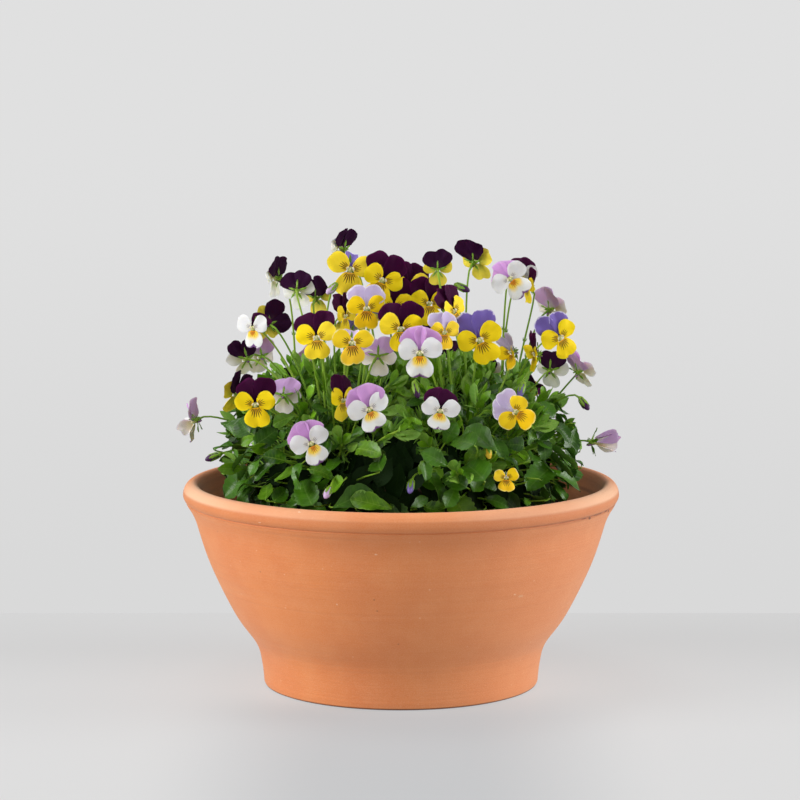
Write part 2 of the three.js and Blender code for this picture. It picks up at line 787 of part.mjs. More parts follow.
function shootGeometry(curve) {
  const section = new THREE.Shape([90, 210, 330].map((turn) => {
    const c = Math.cos(radians(turn)) * SHOOT_RADIUS;
    const s = Math.sin(radians(turn)) * SHOOT_RADIUS;
    return new THREE.Vector2(c, s);
  }));
  const tube = new THREE.ExtrudeGeometry(section, { steps: SHOOT_STEPS, extrudePath: curve });
  return welded(tube);
}

// Plants

function heartSolid(crown) {
  const heart = new THREE.IcosahedronGeometry(1, 0);
  heart.scale(HEART_REACH.x, HEART_REACH.y, HEART_REACH.z);
  heart.translate(crown.x, crown.y, HEART_HEIGHT);
  const surface = soilHeight(Math.hypot(crown.x, crown.y));
  const bottom = surface - CROWN_DEPTH + FIT;
  const height = HEART_HEIGHT - bottom;
  const middle = vector(crown.x, crown.y, bottom + height / 2);
  const stub = upright(CROWN_RADIUS, height, CROWN_SIDES, middle);
  return solidOf(welded(heart)).add(stub);
}

function plantGeometry(plant, crowns, shoots, heads, buds) {
  const pieces = [heartSolid(crowns[plant])];
  shoots.filter((shoot) => shoot.plant === plant).forEach((shoot) => {
    pieces.push(solidOf(shootGeometry(shoot.curve)));
  });
  heads.filter((head) => plantOf(head, crowns) === plant).forEach((head) => {
    const curve = clearStalk(head, plant, crowns, heads);
    pieces.push(solidOf(stalkGeometry(curve, head, calyxLoop(), CALYX_TIP)));
  });
  buds.filter((bud) => plantOf(bud, crowns) === plant).forEach((bud) => {
    const curve = clearStalk(bud, plant, crowns, heads);
    pieces.push(solidOf(stalkGeometry(curve, bud, budLoop(), BUD_TIP)));
  });
  let grown = pieces.reduce((all, piece) => all.add(piece));
  leafChoices(plant, shoots, crowns).forEach((choice) => {
    const fitting = choice.filter((leaf) => leafFits(leaf, plant, crowns, heads));
    if (fitting.length > 0) {
      grown = leastCrossing(fitting, grown);
    }
  });
  return geometryOf(grown);
}

// Assembly

const TERRACOTTA = 0xdb8f62;
const SOIL_BROWN = 0x2c211a;
const LEAF_GREEN = 0x3f7a2c;

const planter = new THREE.Group();
const crowns = crownPlaces();
const heads = HEADS.flat().map(headFrame);
const buds = BUDS.map(([x, y, z, yaw, pitch]) => headFrame(["bud", x, y, z, yaw, pitch, 0, 1, 0]));
const shoots = shootCurves(crowns);

planter.add(namedMesh("pot", potGeometry(), TERRACOTTA, 0.85));
planter.add(namedMesh("soil", soilGeometry(crowns), SOIL_BROWN, 1));
crowns.forEach((crown, plant) => {
  const geometry = plantGeometry(plant, crowns, shoots, heads, buds);
  planter.add(namedMesh(`plant_${plant + 1}`, geometry, LEAF_GREEN, 0.6));
});
HEADS.forEach((rows, i) => {
  const number = String(i + 1).padStart(2, "0");
  const colour = FACE_COLOURS[rows[0][0]];
  planter.add(namedMesh(`bloom_${number}`, bloomGeometry(rows), colour, 0.7));
});

export default planter;
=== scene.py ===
"""A terracotta bowl pot planted with six tufts of small horned violets.

Sizes stand in millimetres in the tables and classes and become metres in the meshes.
+Z is up, the origin is on the table under the middle of the pot, the front towards -Y.
"""

import logging
import math
from collections.abc import Callable, Sequence
from dataclasses import dataclass, field, fields, replace
from enum import Enum

import bpy
import numpy as np
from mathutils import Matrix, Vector, noise


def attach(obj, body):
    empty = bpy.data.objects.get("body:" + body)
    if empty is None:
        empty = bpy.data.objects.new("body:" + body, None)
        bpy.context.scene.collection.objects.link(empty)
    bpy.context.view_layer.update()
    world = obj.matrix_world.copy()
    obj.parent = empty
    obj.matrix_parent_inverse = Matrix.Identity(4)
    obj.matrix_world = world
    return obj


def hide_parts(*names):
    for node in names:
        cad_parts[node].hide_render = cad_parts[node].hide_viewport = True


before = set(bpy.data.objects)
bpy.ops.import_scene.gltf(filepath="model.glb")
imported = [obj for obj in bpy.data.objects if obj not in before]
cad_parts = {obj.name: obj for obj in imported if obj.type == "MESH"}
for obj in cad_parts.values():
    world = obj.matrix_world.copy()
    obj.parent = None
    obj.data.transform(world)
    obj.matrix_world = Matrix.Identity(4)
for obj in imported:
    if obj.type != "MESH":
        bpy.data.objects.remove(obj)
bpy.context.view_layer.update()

LOG = logging.getLogger("planter")
MM = 0.001
ROOT = "root"
GOLDEN_TURN = math.pi * (3 - math.sqrt(5))
FULL_TURN = 2 * math.pi
UP = np.array([0.0, 0.0, 1.0])
TINY = 1e-9
DRAW_FACTOR = 1664525
DRAW_STEP = 1013904223
DRAW_RANGE = 2**32

Array = np.ndarray


# Lines and directions


def vector(x: float, y: float, z: float) -> Array:
    """A point or a direction from its three numbers."""
    return np.array([x, y, z], float)


def unit(value: Array) -> Array:
    """The same direction, one long."""
    return value / max(float(np.linalg.norm(value)), TINY)


def ease(low: float, high: float, value: float | Array) -> float | Array:
    """0 up to low, 1 from high on, and a soft step between them."""
    t = np.clip((value - low) / (high - low), 0, 1)
    return t * t * (3 - 2 * t)


def spline(points: Sequence[Sequence[float]], steps: int) -> Array:
    """A smooth line through points.

    Args:
        points: The points that the line passes, in order.
        steps: How many stretches each span is cut into.

    Returns:
        The points of the line, one row each.
    """
    held = np.array(points, float)
    before = np.vstack([held[:1], held[:-1]])
    after = np.vstack([held[2:], held[-1:]])
    line = []
    for p0, p1, p2, p3 in zip(before, held[:-1], held[1:], after):
        for t in np.arange(steps) / steps:
            line.append(
                0.5 * (2 * p1 + (p2 - p0) * t + (2 * p0 - 5 * p1 + 4 * p2 - p3) * t**2
                       + (3 * p1 - p0 - 3 * p2 + p3) * t**3)
            )
    return np.array([*line, held[-1]])


def evenly(line: Array, count: int) -> Array:
    """A line cut anew into count points at even distances.

    Args:
        line: The points of the line, one row each.
        count: How many points to return, both ends included.

    Returns:
        The new points, one row each.
    """
    lengths = np.linalg.norm(np.diff(line, axis=0), axis=1)
    travelled = np.concatenate([[0], np.cumsum(lengths)])
    wanted = np.linspace(0, travelled[-1], count)
    return np.stack([np.interp(wanted, travelled, column) for column in line.T], axis=1)


def bezier(controls: Sequence[Array], count: int) -> Array:
    """The points of a Bezier curve.

    Args:
        controls: Three or four control points.
        count: How many points to return, both ends included.

    Returns:
        The points, one row each.
    """
    t = np.linspace(0, 1, count)[:, None]
    level = [np.asarray(point, float) for point in controls]
    while len(level) > 1:
        level = [a + (b - a) * t for a, b in zip(level, level[1:])]
    return level[0]


@dataclass
class Draw:
    """Draws of numbers between two limits, the same on every run, by a whole number to start from."""

    state: int
    skipped: int = 0

    def __post_init__(self) -> None:
        """Passes over the first numbers."""
        for _ in range(self.skipped):
            self(0, 1)

    def __call__(self, low: float, high: float) -> float:
        """The next number between low and high."""
        self.state = (self.state * DRAW_FACTOR + DRAW_STEP) % DRAW_RANGE
        return low + (high - low) * (self.state / DRAW_RANGE)


def toward(turn: float) -> Array:
    """The level direction at so many radians from +X."""
    return vector(math.cos(turn), math.sin(turn), 0)


def swing(first: Array, second: Array, turn: float) -> Array:
    """The first direction turned towards the second by so many radians."""
    return first * math.cos(turn) + second * math.sin(turn)


def square_to(value: Array, way: Array) -> Array:
    """The part of a direction that is square to way, one long."""
    return unit(value - way * value.dot(way))


def hung(out: Array, away: float, up: float, aside: float, turn: float) -> tuple[Array, Array]:
    """The directions of a leaf that hangs.

    Args:
        out: The level direction away from the pot's axis.
        away: How much its face looks that way.
        up: How much it looks up.
        aside: How much it looks sideways.
        turn: How far its tip is turned away from straight down, in radians.

    Returns:
        The way its tip points and the way its face looks.
    """
    face = unit(out * away + vector(0, 0, up) + vector(-out[1], out[0], 0) * aside)
    down = unit(face * face[2] - UP)
    return swing(down, np.cross(face, down), turn), face


# Meshes


@dataclass
class Stock:
    """Points and faces gathered for one mesh, in millimetres, with a finish number for each face."""

    points: list[Array] = field(default_factory=list)
    charts: list[Array] = field(default_factory=list)
    tints: list[Array] = field(default_factory=list)
    faces: list[list[int]] = field(default_factory=list)
    finishes: list[int] = field(default_factory=list)
    count: int = 0

    def put(self, points: Array, chart: Array, tint: float) -> int:
        """Takes points in.

        Args:
            points: The points, one row each.
            chart: Where each point lies on its blade or tube, along and across from 0 to 1.
            tint: A number from 0 to 1 that shifts the colour of the whole blade or tube.

        Returns:
            The number of the first of them in the whole mesh.
        """
        first = self.count
        self.points.append(points)
        self.charts.append(chart)
        self.tints.append(np.full(len(points), tint))
        self.count += len(points)
        return first

    def skin(self, faces: Array, finish: int) -> None:
        """Adds faces, as rows of point numbers in the whole mesh."""
        self.faces.extend(faces.tolist())
        self.finishes.extend([finish] * len(faces))

    def blade(self, grid: Array, chart: Array, thickness: float, front: int, back: int,
              tint: float) -> None:
        """A thin closed blade: two skins that meet all along the rim.

        Args:
            grid: Points in rows along the blade and columns across it.
            chart: Along and across from 0 to 1 for each point of the grid.
            thickness: How far apart the skins are inside the rim.
            front: The finish of the skin on the side of along x across.
            back: The finish of the other skin.
            tint: The colour shift of the blade.
        """
        rows, columns = grid.shape[:2]
        normal = np.cross(np.gradient(grid, axis=0), np.gradient(grid, axis=1))
        normal /= np.maximum(np.linalg.norm(normal, axis=2, keepdims=True), TINY)
        lift = normal[1:-1, 1:-1] * thickness / 2
        upper = grid.copy()
        upper[1:-1, 1:-1] += lift
        lower = grid[1:-1, 1:-1] - lift
        inner_chart = chart[1:-1, 1:-1].reshape(-1, 2)
        points = np.vstack([upper.reshape(-1, 3), lower.reshape(-1, 3)])
        first = self.put(points, np.vstack([chart.reshape(-1, 2), inner_chart]), tint)
        top = first + np.arange(rows * columns).reshape(rows, columns)
        under = top.copy()
        inner = np.arange((rows - 2) * (columns - 2)).reshape(rows - 2, columns - 2)
        under[1:-1, 1:-1] = first + rows * columns + inner
        self.skin(grid_quads(top), front)
        self.skin(grid_quads(under)[:, ::-1], back)

    def tube(self, path: Array, radii: Array | float, sides: int, finish: int,
             tint: float = 0.5) -> None:
        """A closed round tube along a path.

        Args:
            path: The points of its middle line, one row each.
            radii: Its radius at each of them, or one for all.
            sides: How many sides it has.
            finish: Its finish number.
            tint: Its colour shift.
        """
        tangents = np.gradient(path, axis=0)
        tangents /= np.maximum(np.linalg.norm(tangents, axis=1, keepdims=True), TINY)
        hint = vector(1, 0.2, 0) if abs(tangents[0][0]) < 0.8 else vector(0, 1, 0.2)
        across = unit(hint - tangents[0] * hint.dot(tangents[0]))
        turns = np.arange(sides) * FULL_TURN / sides
        rings = []
        for centre, along, radius in zip(path, tangents, np.broadcast_to(radii, len(path))):
            across = square_to(across, along)
            over = np.cross(along, across)
            rings.append(centre + radius * (np.outer(np.cos(turns), across)
                                            + np.outer(np.sin(turns), over)))
        self.round_body(np.array(rings), path[[0, -1]], finish, tint)

    def turned(self, profile: Array, segments: int, bent: Callable[[Array], Array]) -> None:
        """A turned solid from the axis out and back to the axis, in the first finish.

        Args:
            profile: Radius and height of each point, both ends on the axis.
            segments: How many sides it has.
            bent: Takes and returns the points, to move them a little.
        """
        turns = np.arange(segments) * FULL_TURN / segments
        circle = np.stack([np.cos(turns), np.sin(turns)], axis=1)
        rings = [np.column_stack([radius * circle, np.full(segments, height)])
                 for radius, height in profile[1:-1]]
        poles = [(0, 0, profile[0][1]), (0, 0, profile[-1][1])]
        points = bent(np.vstack([*rings, poles]))
        self.round_body(points[:-2].reshape(-1, segments, 3), points[-2:], 0, 0.5)

    def round_body(self, rings: Array, ends: Array, finish: int, tint: float) -> None:
        """A closed body of rings.

        Args:
            rings: The points round each ring, ring by ring.
            ends: The middle points of its two ends.
            finish: Its finish number.
            tint: Its colour shift.
        """
        count, sides = rings.shape[:2]
        along = np.repeat(np.linspace(0, 1, count), sides)
        chart = np.stack([along, np.tile(np.arange(sides) / sides, count)], axis=1)
        first = self.put(np.vstack([rings.reshape(-1, 3), ends]),
                         np.vstack([chart, [[0, 0], [1, 0]]]), tint)
        numbers = first + np.arange(count * sides).reshape(count, sides)
        closed = np.hstack([numbers, numbers[:, :1]])
        self.skin(grid_quads(closed)[:, ::-1], finish)
        pole = first + count * sides
        start = [[pole, b, a] for a, b in zip(closed[0], closed[0][1:])]
        end = [[pole + 1, a, b] for a, b in zip(closed[-1], closed[-1][1:])]
        self.skin(np.array(start + end), finish)

    def make(self, name: str, finishes: Sequence[bpy.types.Material],
             sharp: float = 55) -> bpy.types.Object:
        """The gathered mesh as an object at the origin.

        Args:
            name: The name of the piece.
            finishes: Its materials, in the order of the finish numbers.
            sharp: The angle in degrees from which an edge is shaded sharp.

        Returns:
            The new object, already in the scene.
        """
        mesh = bpy.data.meshes.new(name)
        mesh.from_pydata(np.vstack(self.points) * MM, [], self.faces)
        for finish in finishes:
            mesh.materials.append(finish)
        mesh.polygons.foreach_set("material_index", self.finishes)
        corners = np.empty(len(mesh.loops), np.int32)
        mesh.loops.foreach_get("vertex_index", corners)
        chart = mesh.uv_layers.new(name="chart")
        chart.data.foreach_set("uv", np.vstack(self.charts)[corners].astype(np.float32).ravel())
        tint = mesh.attributes.new(name="tint", type="FLOAT", domain="POINT")
        tint.data.foreach_set("value", np.concatenate(self.tints).astype(np.float32))
        mesh.shade_smooth()
        mesh.set_sharp_from_angle(angle=math.radians(sharp))
        return shown(name, mesh)


def shown(name: str, data: bpy.types.ID) -> bpy.types.Object:
    """A new object in the scene.

    Args:
        name: Its name.
        data: Its mesh, light or camera.

    Returns:
        The object.
    """
    piece = bpy.data.objects.new(name, data)
    bpy.context.scene.collection.objects.link(piece)
    return piece


def grid_quads(numbers: Array) -> Array:
    """The four-sided faces of a grid of point numbers, facing along x across."""
    corners = [numbers[:-1, :-1], numbers[1:, :-1], numbers[1:, 1:], numbers[:-1, 1:]]
    return np.stack(corners, axis=2).reshape(-1, 4)


def settle(piece: bpy.types.Object, slot: str, *nodes: str) -> None:
    """Gives a piece its body and hides the CAD nodes that it stands for.

    Args:
        piece: The piece.
        slot: The material slot it goes by, which is not used.
        nodes: The CAD nodes that it stands for.
    """
    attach(piece, ROOT)
    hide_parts(*nodes)
    LOG.info("%s stands for %s, %d faces", piece.name, ", ".join(nodes), len(piece.data.polygons))


# Shader building blocks


def colour(code: int) -> tuple[float, float, float, float]:
    """A colour code such as 0xff8800 as the linear numbers that the shaders take."""
    shares = [(code >> shift & 255) / 255 for shift in (16, 8, 0)]
    return (*(s / 12.92 if s <= 0.04045 else ((s + 0.055) / 1.055) ** 2.4 for s in shares), 1.0)


@dataclass(frozen=True)
class Signal:
    """A number, point or colour that changes over a surface, for sums in plain Python."""

    wiring: "Wiring"
    socket: bpy.types.NodeSocket

    def __add__(self, other: "Value") -> "Signal":
        """Both added."""
        return self.wiring.maths("ADD", self, other)

    def __sub__(self, other: "Value") -> "Signal":
        """The other taken from this one."""
        return self.wiring.maths("SUBTRACT", self, other)

    def __rsub__(self, other: float) -> "Signal":
        """This one taken from a plain number."""
        return self.wiring.maths("SUBTRACT", other, self)

    def __mul__(self, other: "Value") -> "Signal":
        """Both multiplied."""
        return self.wiring.maths("MULTIPLY", self, other)

    def __truediv__(self, other: "Value") -> "Signal":
        """This one divided by the other."""
        return self.wiring.maths("DIVIDE", self, other)

    def __abs__(self) -> "Signal":
        """This one without its sign."""
        return self.wiring.maths("ABSOLUTE", self)

    def step(self, low: "Value", high: "Value") -> "Signal":
        """A soft step: 0 at low and 1 at high, which may be the lower of the two."""
        node = self.wiring.node("ShaderNodeMapRange", interpolation_type="SMOOTHSTEP")
        return self.wiring.fed(node, self, low, high)

    def mixed(self, code: int, share: "Value") -> "Signal":
        """This colour with a share of a colour code mixed in."""
        return self.wiring.blend(share, self, colour(code))


Value = Signal | float | Sequence[float]


class Wiring:
    """Short calls for the nodes and links of one shader tree."""

    def __init__(self, tree: bpy.types.NodeTree) -> None:
        """Works on the given tree."""
        self.tree = tree

    def node(self, kind: str, **settings: object) -> bpy.types.Node:
        """A new node.

        Args:
            kind: Its type, as Blender writes it.
            settings: The values of its own settings.

        Returns:
            The node.
        """
        node = self.tree.nodes.new(kind)
        for key, value in settings.items():
            setattr(node, key, value)
        return node

    def signal(self, socket: bpy.types.NodeSocket) -> Signal:
        """What a socket puts out."""
        return Signal(self, socket)

    def feed(self, socket: bpy.types.NodeSocket, value: Value) -> None:
        """Gives a socket its value.

        Args:
            socket: The socket.
            value: A signal to link into it, or a constant that is set on it.
        """
        if isinstance(value, Signal):
            self.tree.links.new(value.socket, socket)
        else:
            socket.default_value = value

    def fed(self, node: bpy.types.Node, *values: Value) -> Signal:
        """Feeds the first inputs of a node in order.

        Args:
            node: The node.
            values: The values of those inputs.

        Returns:
            What its first output gives.
        """
        for socket, value in zip(node.inputs, values):
            self.feed(socket, value)
        return self.signal(node.outputs[0])

    def fill(self, node: bpy.types.Node, **values: Value) -> bpy.types.Node:
        """Feeds inputs of a node by their names.

        Args:
            node: The node.
            values: The value of each input, named with _ for a space.

        Returns:
            The node.
        """
        for key, value in values.items():
            self.feed(node.inputs[key.replace("_", " ")], value)
        return node

    def maths(self, operation: str, *values: Value) -> Signal:
        """The result of one sum, by Blender's name for it."""
        return self.fed(self.node("ShaderNodeMath", operation=operation), *values)

    def blend(self, share: Value, low: Value, high: Value) -> Signal:
        """Two colours mixed.

        Args:
            share: How much of the second one, from 0 to 1.
            low: The first colour.
            high: The second colour.

        Returns:
            The mixed colour.
        """
        node = self.node("ShaderNodeMix", data_type="RGBA")
        for number, value in ((0, share), (6, low), (7, high)):
            self.feed(node.inputs[number], value)
        return self.signal(node.outputs[2])

    def noise(self, where: Signal, scale: Value, detail: float = 2.0,
              roughness: float = 0.5) -> Signal:
        """Soft noise around 0.5.

        Args:
            where: The point to read it at.
            scale: How many lumps there are to a metre.
            detail: How many finer layers it has.
            roughness: How strong they are.

        Returns:
            The noise.
        """
        node = self.fill(self.node("ShaderNodeTexNoise"), Vector=where, Scale=scale, Detail=detail,
                         Roughness=roughness)
        return self.signal(node.outputs["Fac"])

    def place(self) -> Signal:
        """The point in the frame, in metres."""
        return self.signal(self.node("ShaderNodeTexCoord").outputs["Object"])

    def parts(self, point: Signal) -> list[Signal]:
        """The three numbers of a point."""
        node = self.fill(self.node("ShaderNodeSeparateXYZ"), Vector=point)
        return [self.signal(socket) for socket in node.outputs]

    def chart(self) -> list[Signal]:
        """Along and across a blade or tube, both from 0 to 1."""
        return self.parts(self.fed(self.node("ShaderNodeUVMap", uv_map="chart")))[:2]

    def tint(self) -> Signal:
        """The colour shift of the blade, from 0 to 1."""
        return self.signal(self.node("ShaderNodeAttribute", attribute_name="tint").outputs["Fac"])

    def effect(self, effect: "SharedEffect", **values: Value) -> list[Signal]:
        """What a shared effect puts out when it is placed with its own values."""
        node = self.fill(self.node("ShaderNodeGroup", node_tree=effect.tree()), **values)
        return [self.signal(socket) for socket in node.outputs]

    def bump(self, height: Signal, distance: float, strength: float,
             normal: Signal | None = None) -> Signal:
        """A bumped normal.

        Args:
            height: The height, from 0 to 1.
            distance: How far apart 0 and 1 are, in metres.
            strength: How much of it shows.
            normal: A normal that this one lies on, or None.

        Returns:
            The normal.
        """
        node = self.fill(self.node("ShaderNodeBump"), Strength=strength, Distance=distance,
                         Height=height)
        if normal is not None:
            self.feed(node.inputs["Normal"], normal)
        return self.signal(node.outputs[0])


class SharedEffect(Enum):
    """The effects that several finishes share, each built once as a node group."""

    LINES = "fine lines"
    WHISKERS = "whiskers"
    MOTTLE = "mottle"
    GRAIN = "grain"
    MARK = "mark"

    def tree(self) -> bpy.types.NodeTree:
        """The effect's node group, built when it is first asked for.

        Returns:
            The group.
        """
        if self.value in bpy.data.node_groups:
            return bpy.data.node_groups[self.value]
        tree = bpy.data.node_groups.new(self.value, "ShaderNodeTree")
        build, inputs, outputs = EFFECTS[self]
        for name, value in inputs.items():
            tree.interface.new_socket(
                name=name, in_out="INPUT", socket_type="NodeSocketFloat").default_value = value
        for name in outputs:
            tree.interface.new_socket(name=name, in_out="OUTPUT", socket_type="NodeSocketFloat")
        wiring = Wiring(tree)
        entry = wiring.node("NodeGroupInput")
        given = [wiring.signal(entry.outputs[name]) for name in inputs]
        for socket, value in zip(wiring.node("NodeGroupOutput").inputs, build(wiring, given)):
            wiring.feed(socket, value)
        return tree


def build_lines(wiring: Wiring, given: Sequence[Signal]) -> list[Signal]:
    """The mask of thin soft lines wherever a number times a count is whole."""
    value, count, width = given
    return [wiring.maths("PINGPONG", value * count, 0.5).step(width, 0.0)]


# How unevenly the whiskers end, how much shorter the outer ones are, and how thin they become
WHISKER_UNEVENNESS = 0.16
WHISKER_FALL = 0.45
WHISKER_TAPER = 0.35


def build_whiskers(wiring: Wiring, given: Sequence[Signal]) -> list[Signal]:
    """Dark lines that fan out of the throat of a flower, the middle ones the longest.

    Args:
        wiring: The wiring of the group.
        given: Along, across, spacing, limit, reach and width.

    Returns:
        The mask of the whiskers.
    """
    along, across, spacing, limit, reach, width = given
    side = abs(across - 0.5)
    line = side / spacing
    apart = wiring.maths("PINGPONG", line + 0.5, 0.5)
    number = wiring.node("ShaderNodeTexWhiteNoise", noise_dimensions="1D")
    wiring.feed(number.inputs["W"], wiring.maths("FLOOR", line))
    uneven = wiring.signal(number.outputs["Value"]) * WHISKER_UNEVENNESS
    share = side / limit
    end = reach * (1.0 - share * share * WHISKER_FALL - uneven)
    thick = width * (along.step(end, end * WHISKER_TAPER) + WHISKER_TAPER)
    drawn = apart.step(0.5 - thick, 0.5 - thick * 0.6)
    kept = side.step(limit, limit * 0.92) * along.step(end, end * 0.86) * along.step(0.05, 0.09)
    return [drawn * kept]


def build_mottle(wiring: Wiring, given: Sequence[Signal]) -> list[Signal]:
    """The mask of soft patches, between the noise where they start and where they are full."""
    scale, low, high = given
    return [wiring.noise(wiring.place(), scale, 3.0, 0.55).step(low, high)]


def build_grain(wiring: Wiring, given: Sequence[Signal]) -> list[Signal]:
    """Fine grain with scattered specks, for clay and earth.

    Args:
        wiring: The wiring of the group.
        given: The scale of the grain, that of the specks, and their size.

    Returns:
        The grain and the mask of the specks.
    """
    scale, speck_scale, speck_size = given
    place = wiring.place()
    cells = wiring.fill(wiring.node("ShaderNodeTexVoronoi", feature="F1"), Vector=place,
                        Scale=speck_scale)
    shade = wiring.parts(wiring.signal(cells.outputs["Color"]))[0]
    near = wiring.signal(cells.outputs["Distance"]).step(speck_size, 0.04)
    picked = wiring.maths("GREATER_THAN", shade, 0.8)
    return [wiring.noise(place, scale, 3.0, 0.7), near * picked]


def build_mark(wiring: Wiring, given: Sequence[Signal]) -> list[Signal]:
    """One ragged spot on the front half.

    Args:
        wiring: The wiring of the group.
        given: Its place across and up, and half its width and height, in metres.

    Returns:
        The mask of the spot.
    """
    across, up, wide, high = given
    place = wiring.place()
    x, y, z = wiring.parts(place)
    right, raised = (x - across) / wide, (z - up) / high
    ragged = wiring.noise(place, 900.0, 3.0, 0.7) * 2.4
    return [(right * right + raised * raised + ragged).step(1.9, 1.5) * y.step(0.0, -0.01)]


# How each shared effect is built, its inputs with their first values, and its outputs
EFFECTS = {
    SharedEffect.LINES: (build_lines, {"Value": 0.0, "Count": 8.0, "Width": 0.2}, ["Mask"]),
    SharedEffect.WHISKERS: (build_whiskers, {"Along": 0.0, "Across": 0.5, "Spacing": 0.1,
                                             "Limit": 0.3, "Reach": 0.5, "Width": 0.25}, ["Mask"]),
    SharedEffect.MOTTLE: (build_mottle, {"Scale": 40.0, "Low": 0.4, "High": 0.6}, ["Mask"]),
    SharedEffect.GRAIN: (build_grain, {"Scale": 900.0, "Speck Scale": 260.0, "Speck Size": 0.18},
                         ["Grain", "Specks"]),
    SharedEffect.MARK: (build_mark, {"Across": 0.0, "Up": 0.0, "Wide": 0.002, "High": 0.001},
                        ["Mask"]),
}


def new_finish(name: str) -> tuple[bpy.types.Material, Wiring, bpy.types.Node]:
    """An empty finish.

    Args:
        name: The name of the material.

    Returns:
        The material, its wiring and its surface shader.
    """
    material = bpy.data.materials.new(name)
    material.use_nodes = True
    material.node_tree.nodes.clear()
    wiring = Wiring(material.node_tree)
    shader = wiring.node("ShaderNodeBsdfPrincipled")
    wiring.fill(wiring.node("ShaderNodeOutputMaterial"), Surface=wiring.signal(shader.outputs[0]))
    return material, wiring, shader


# Pot


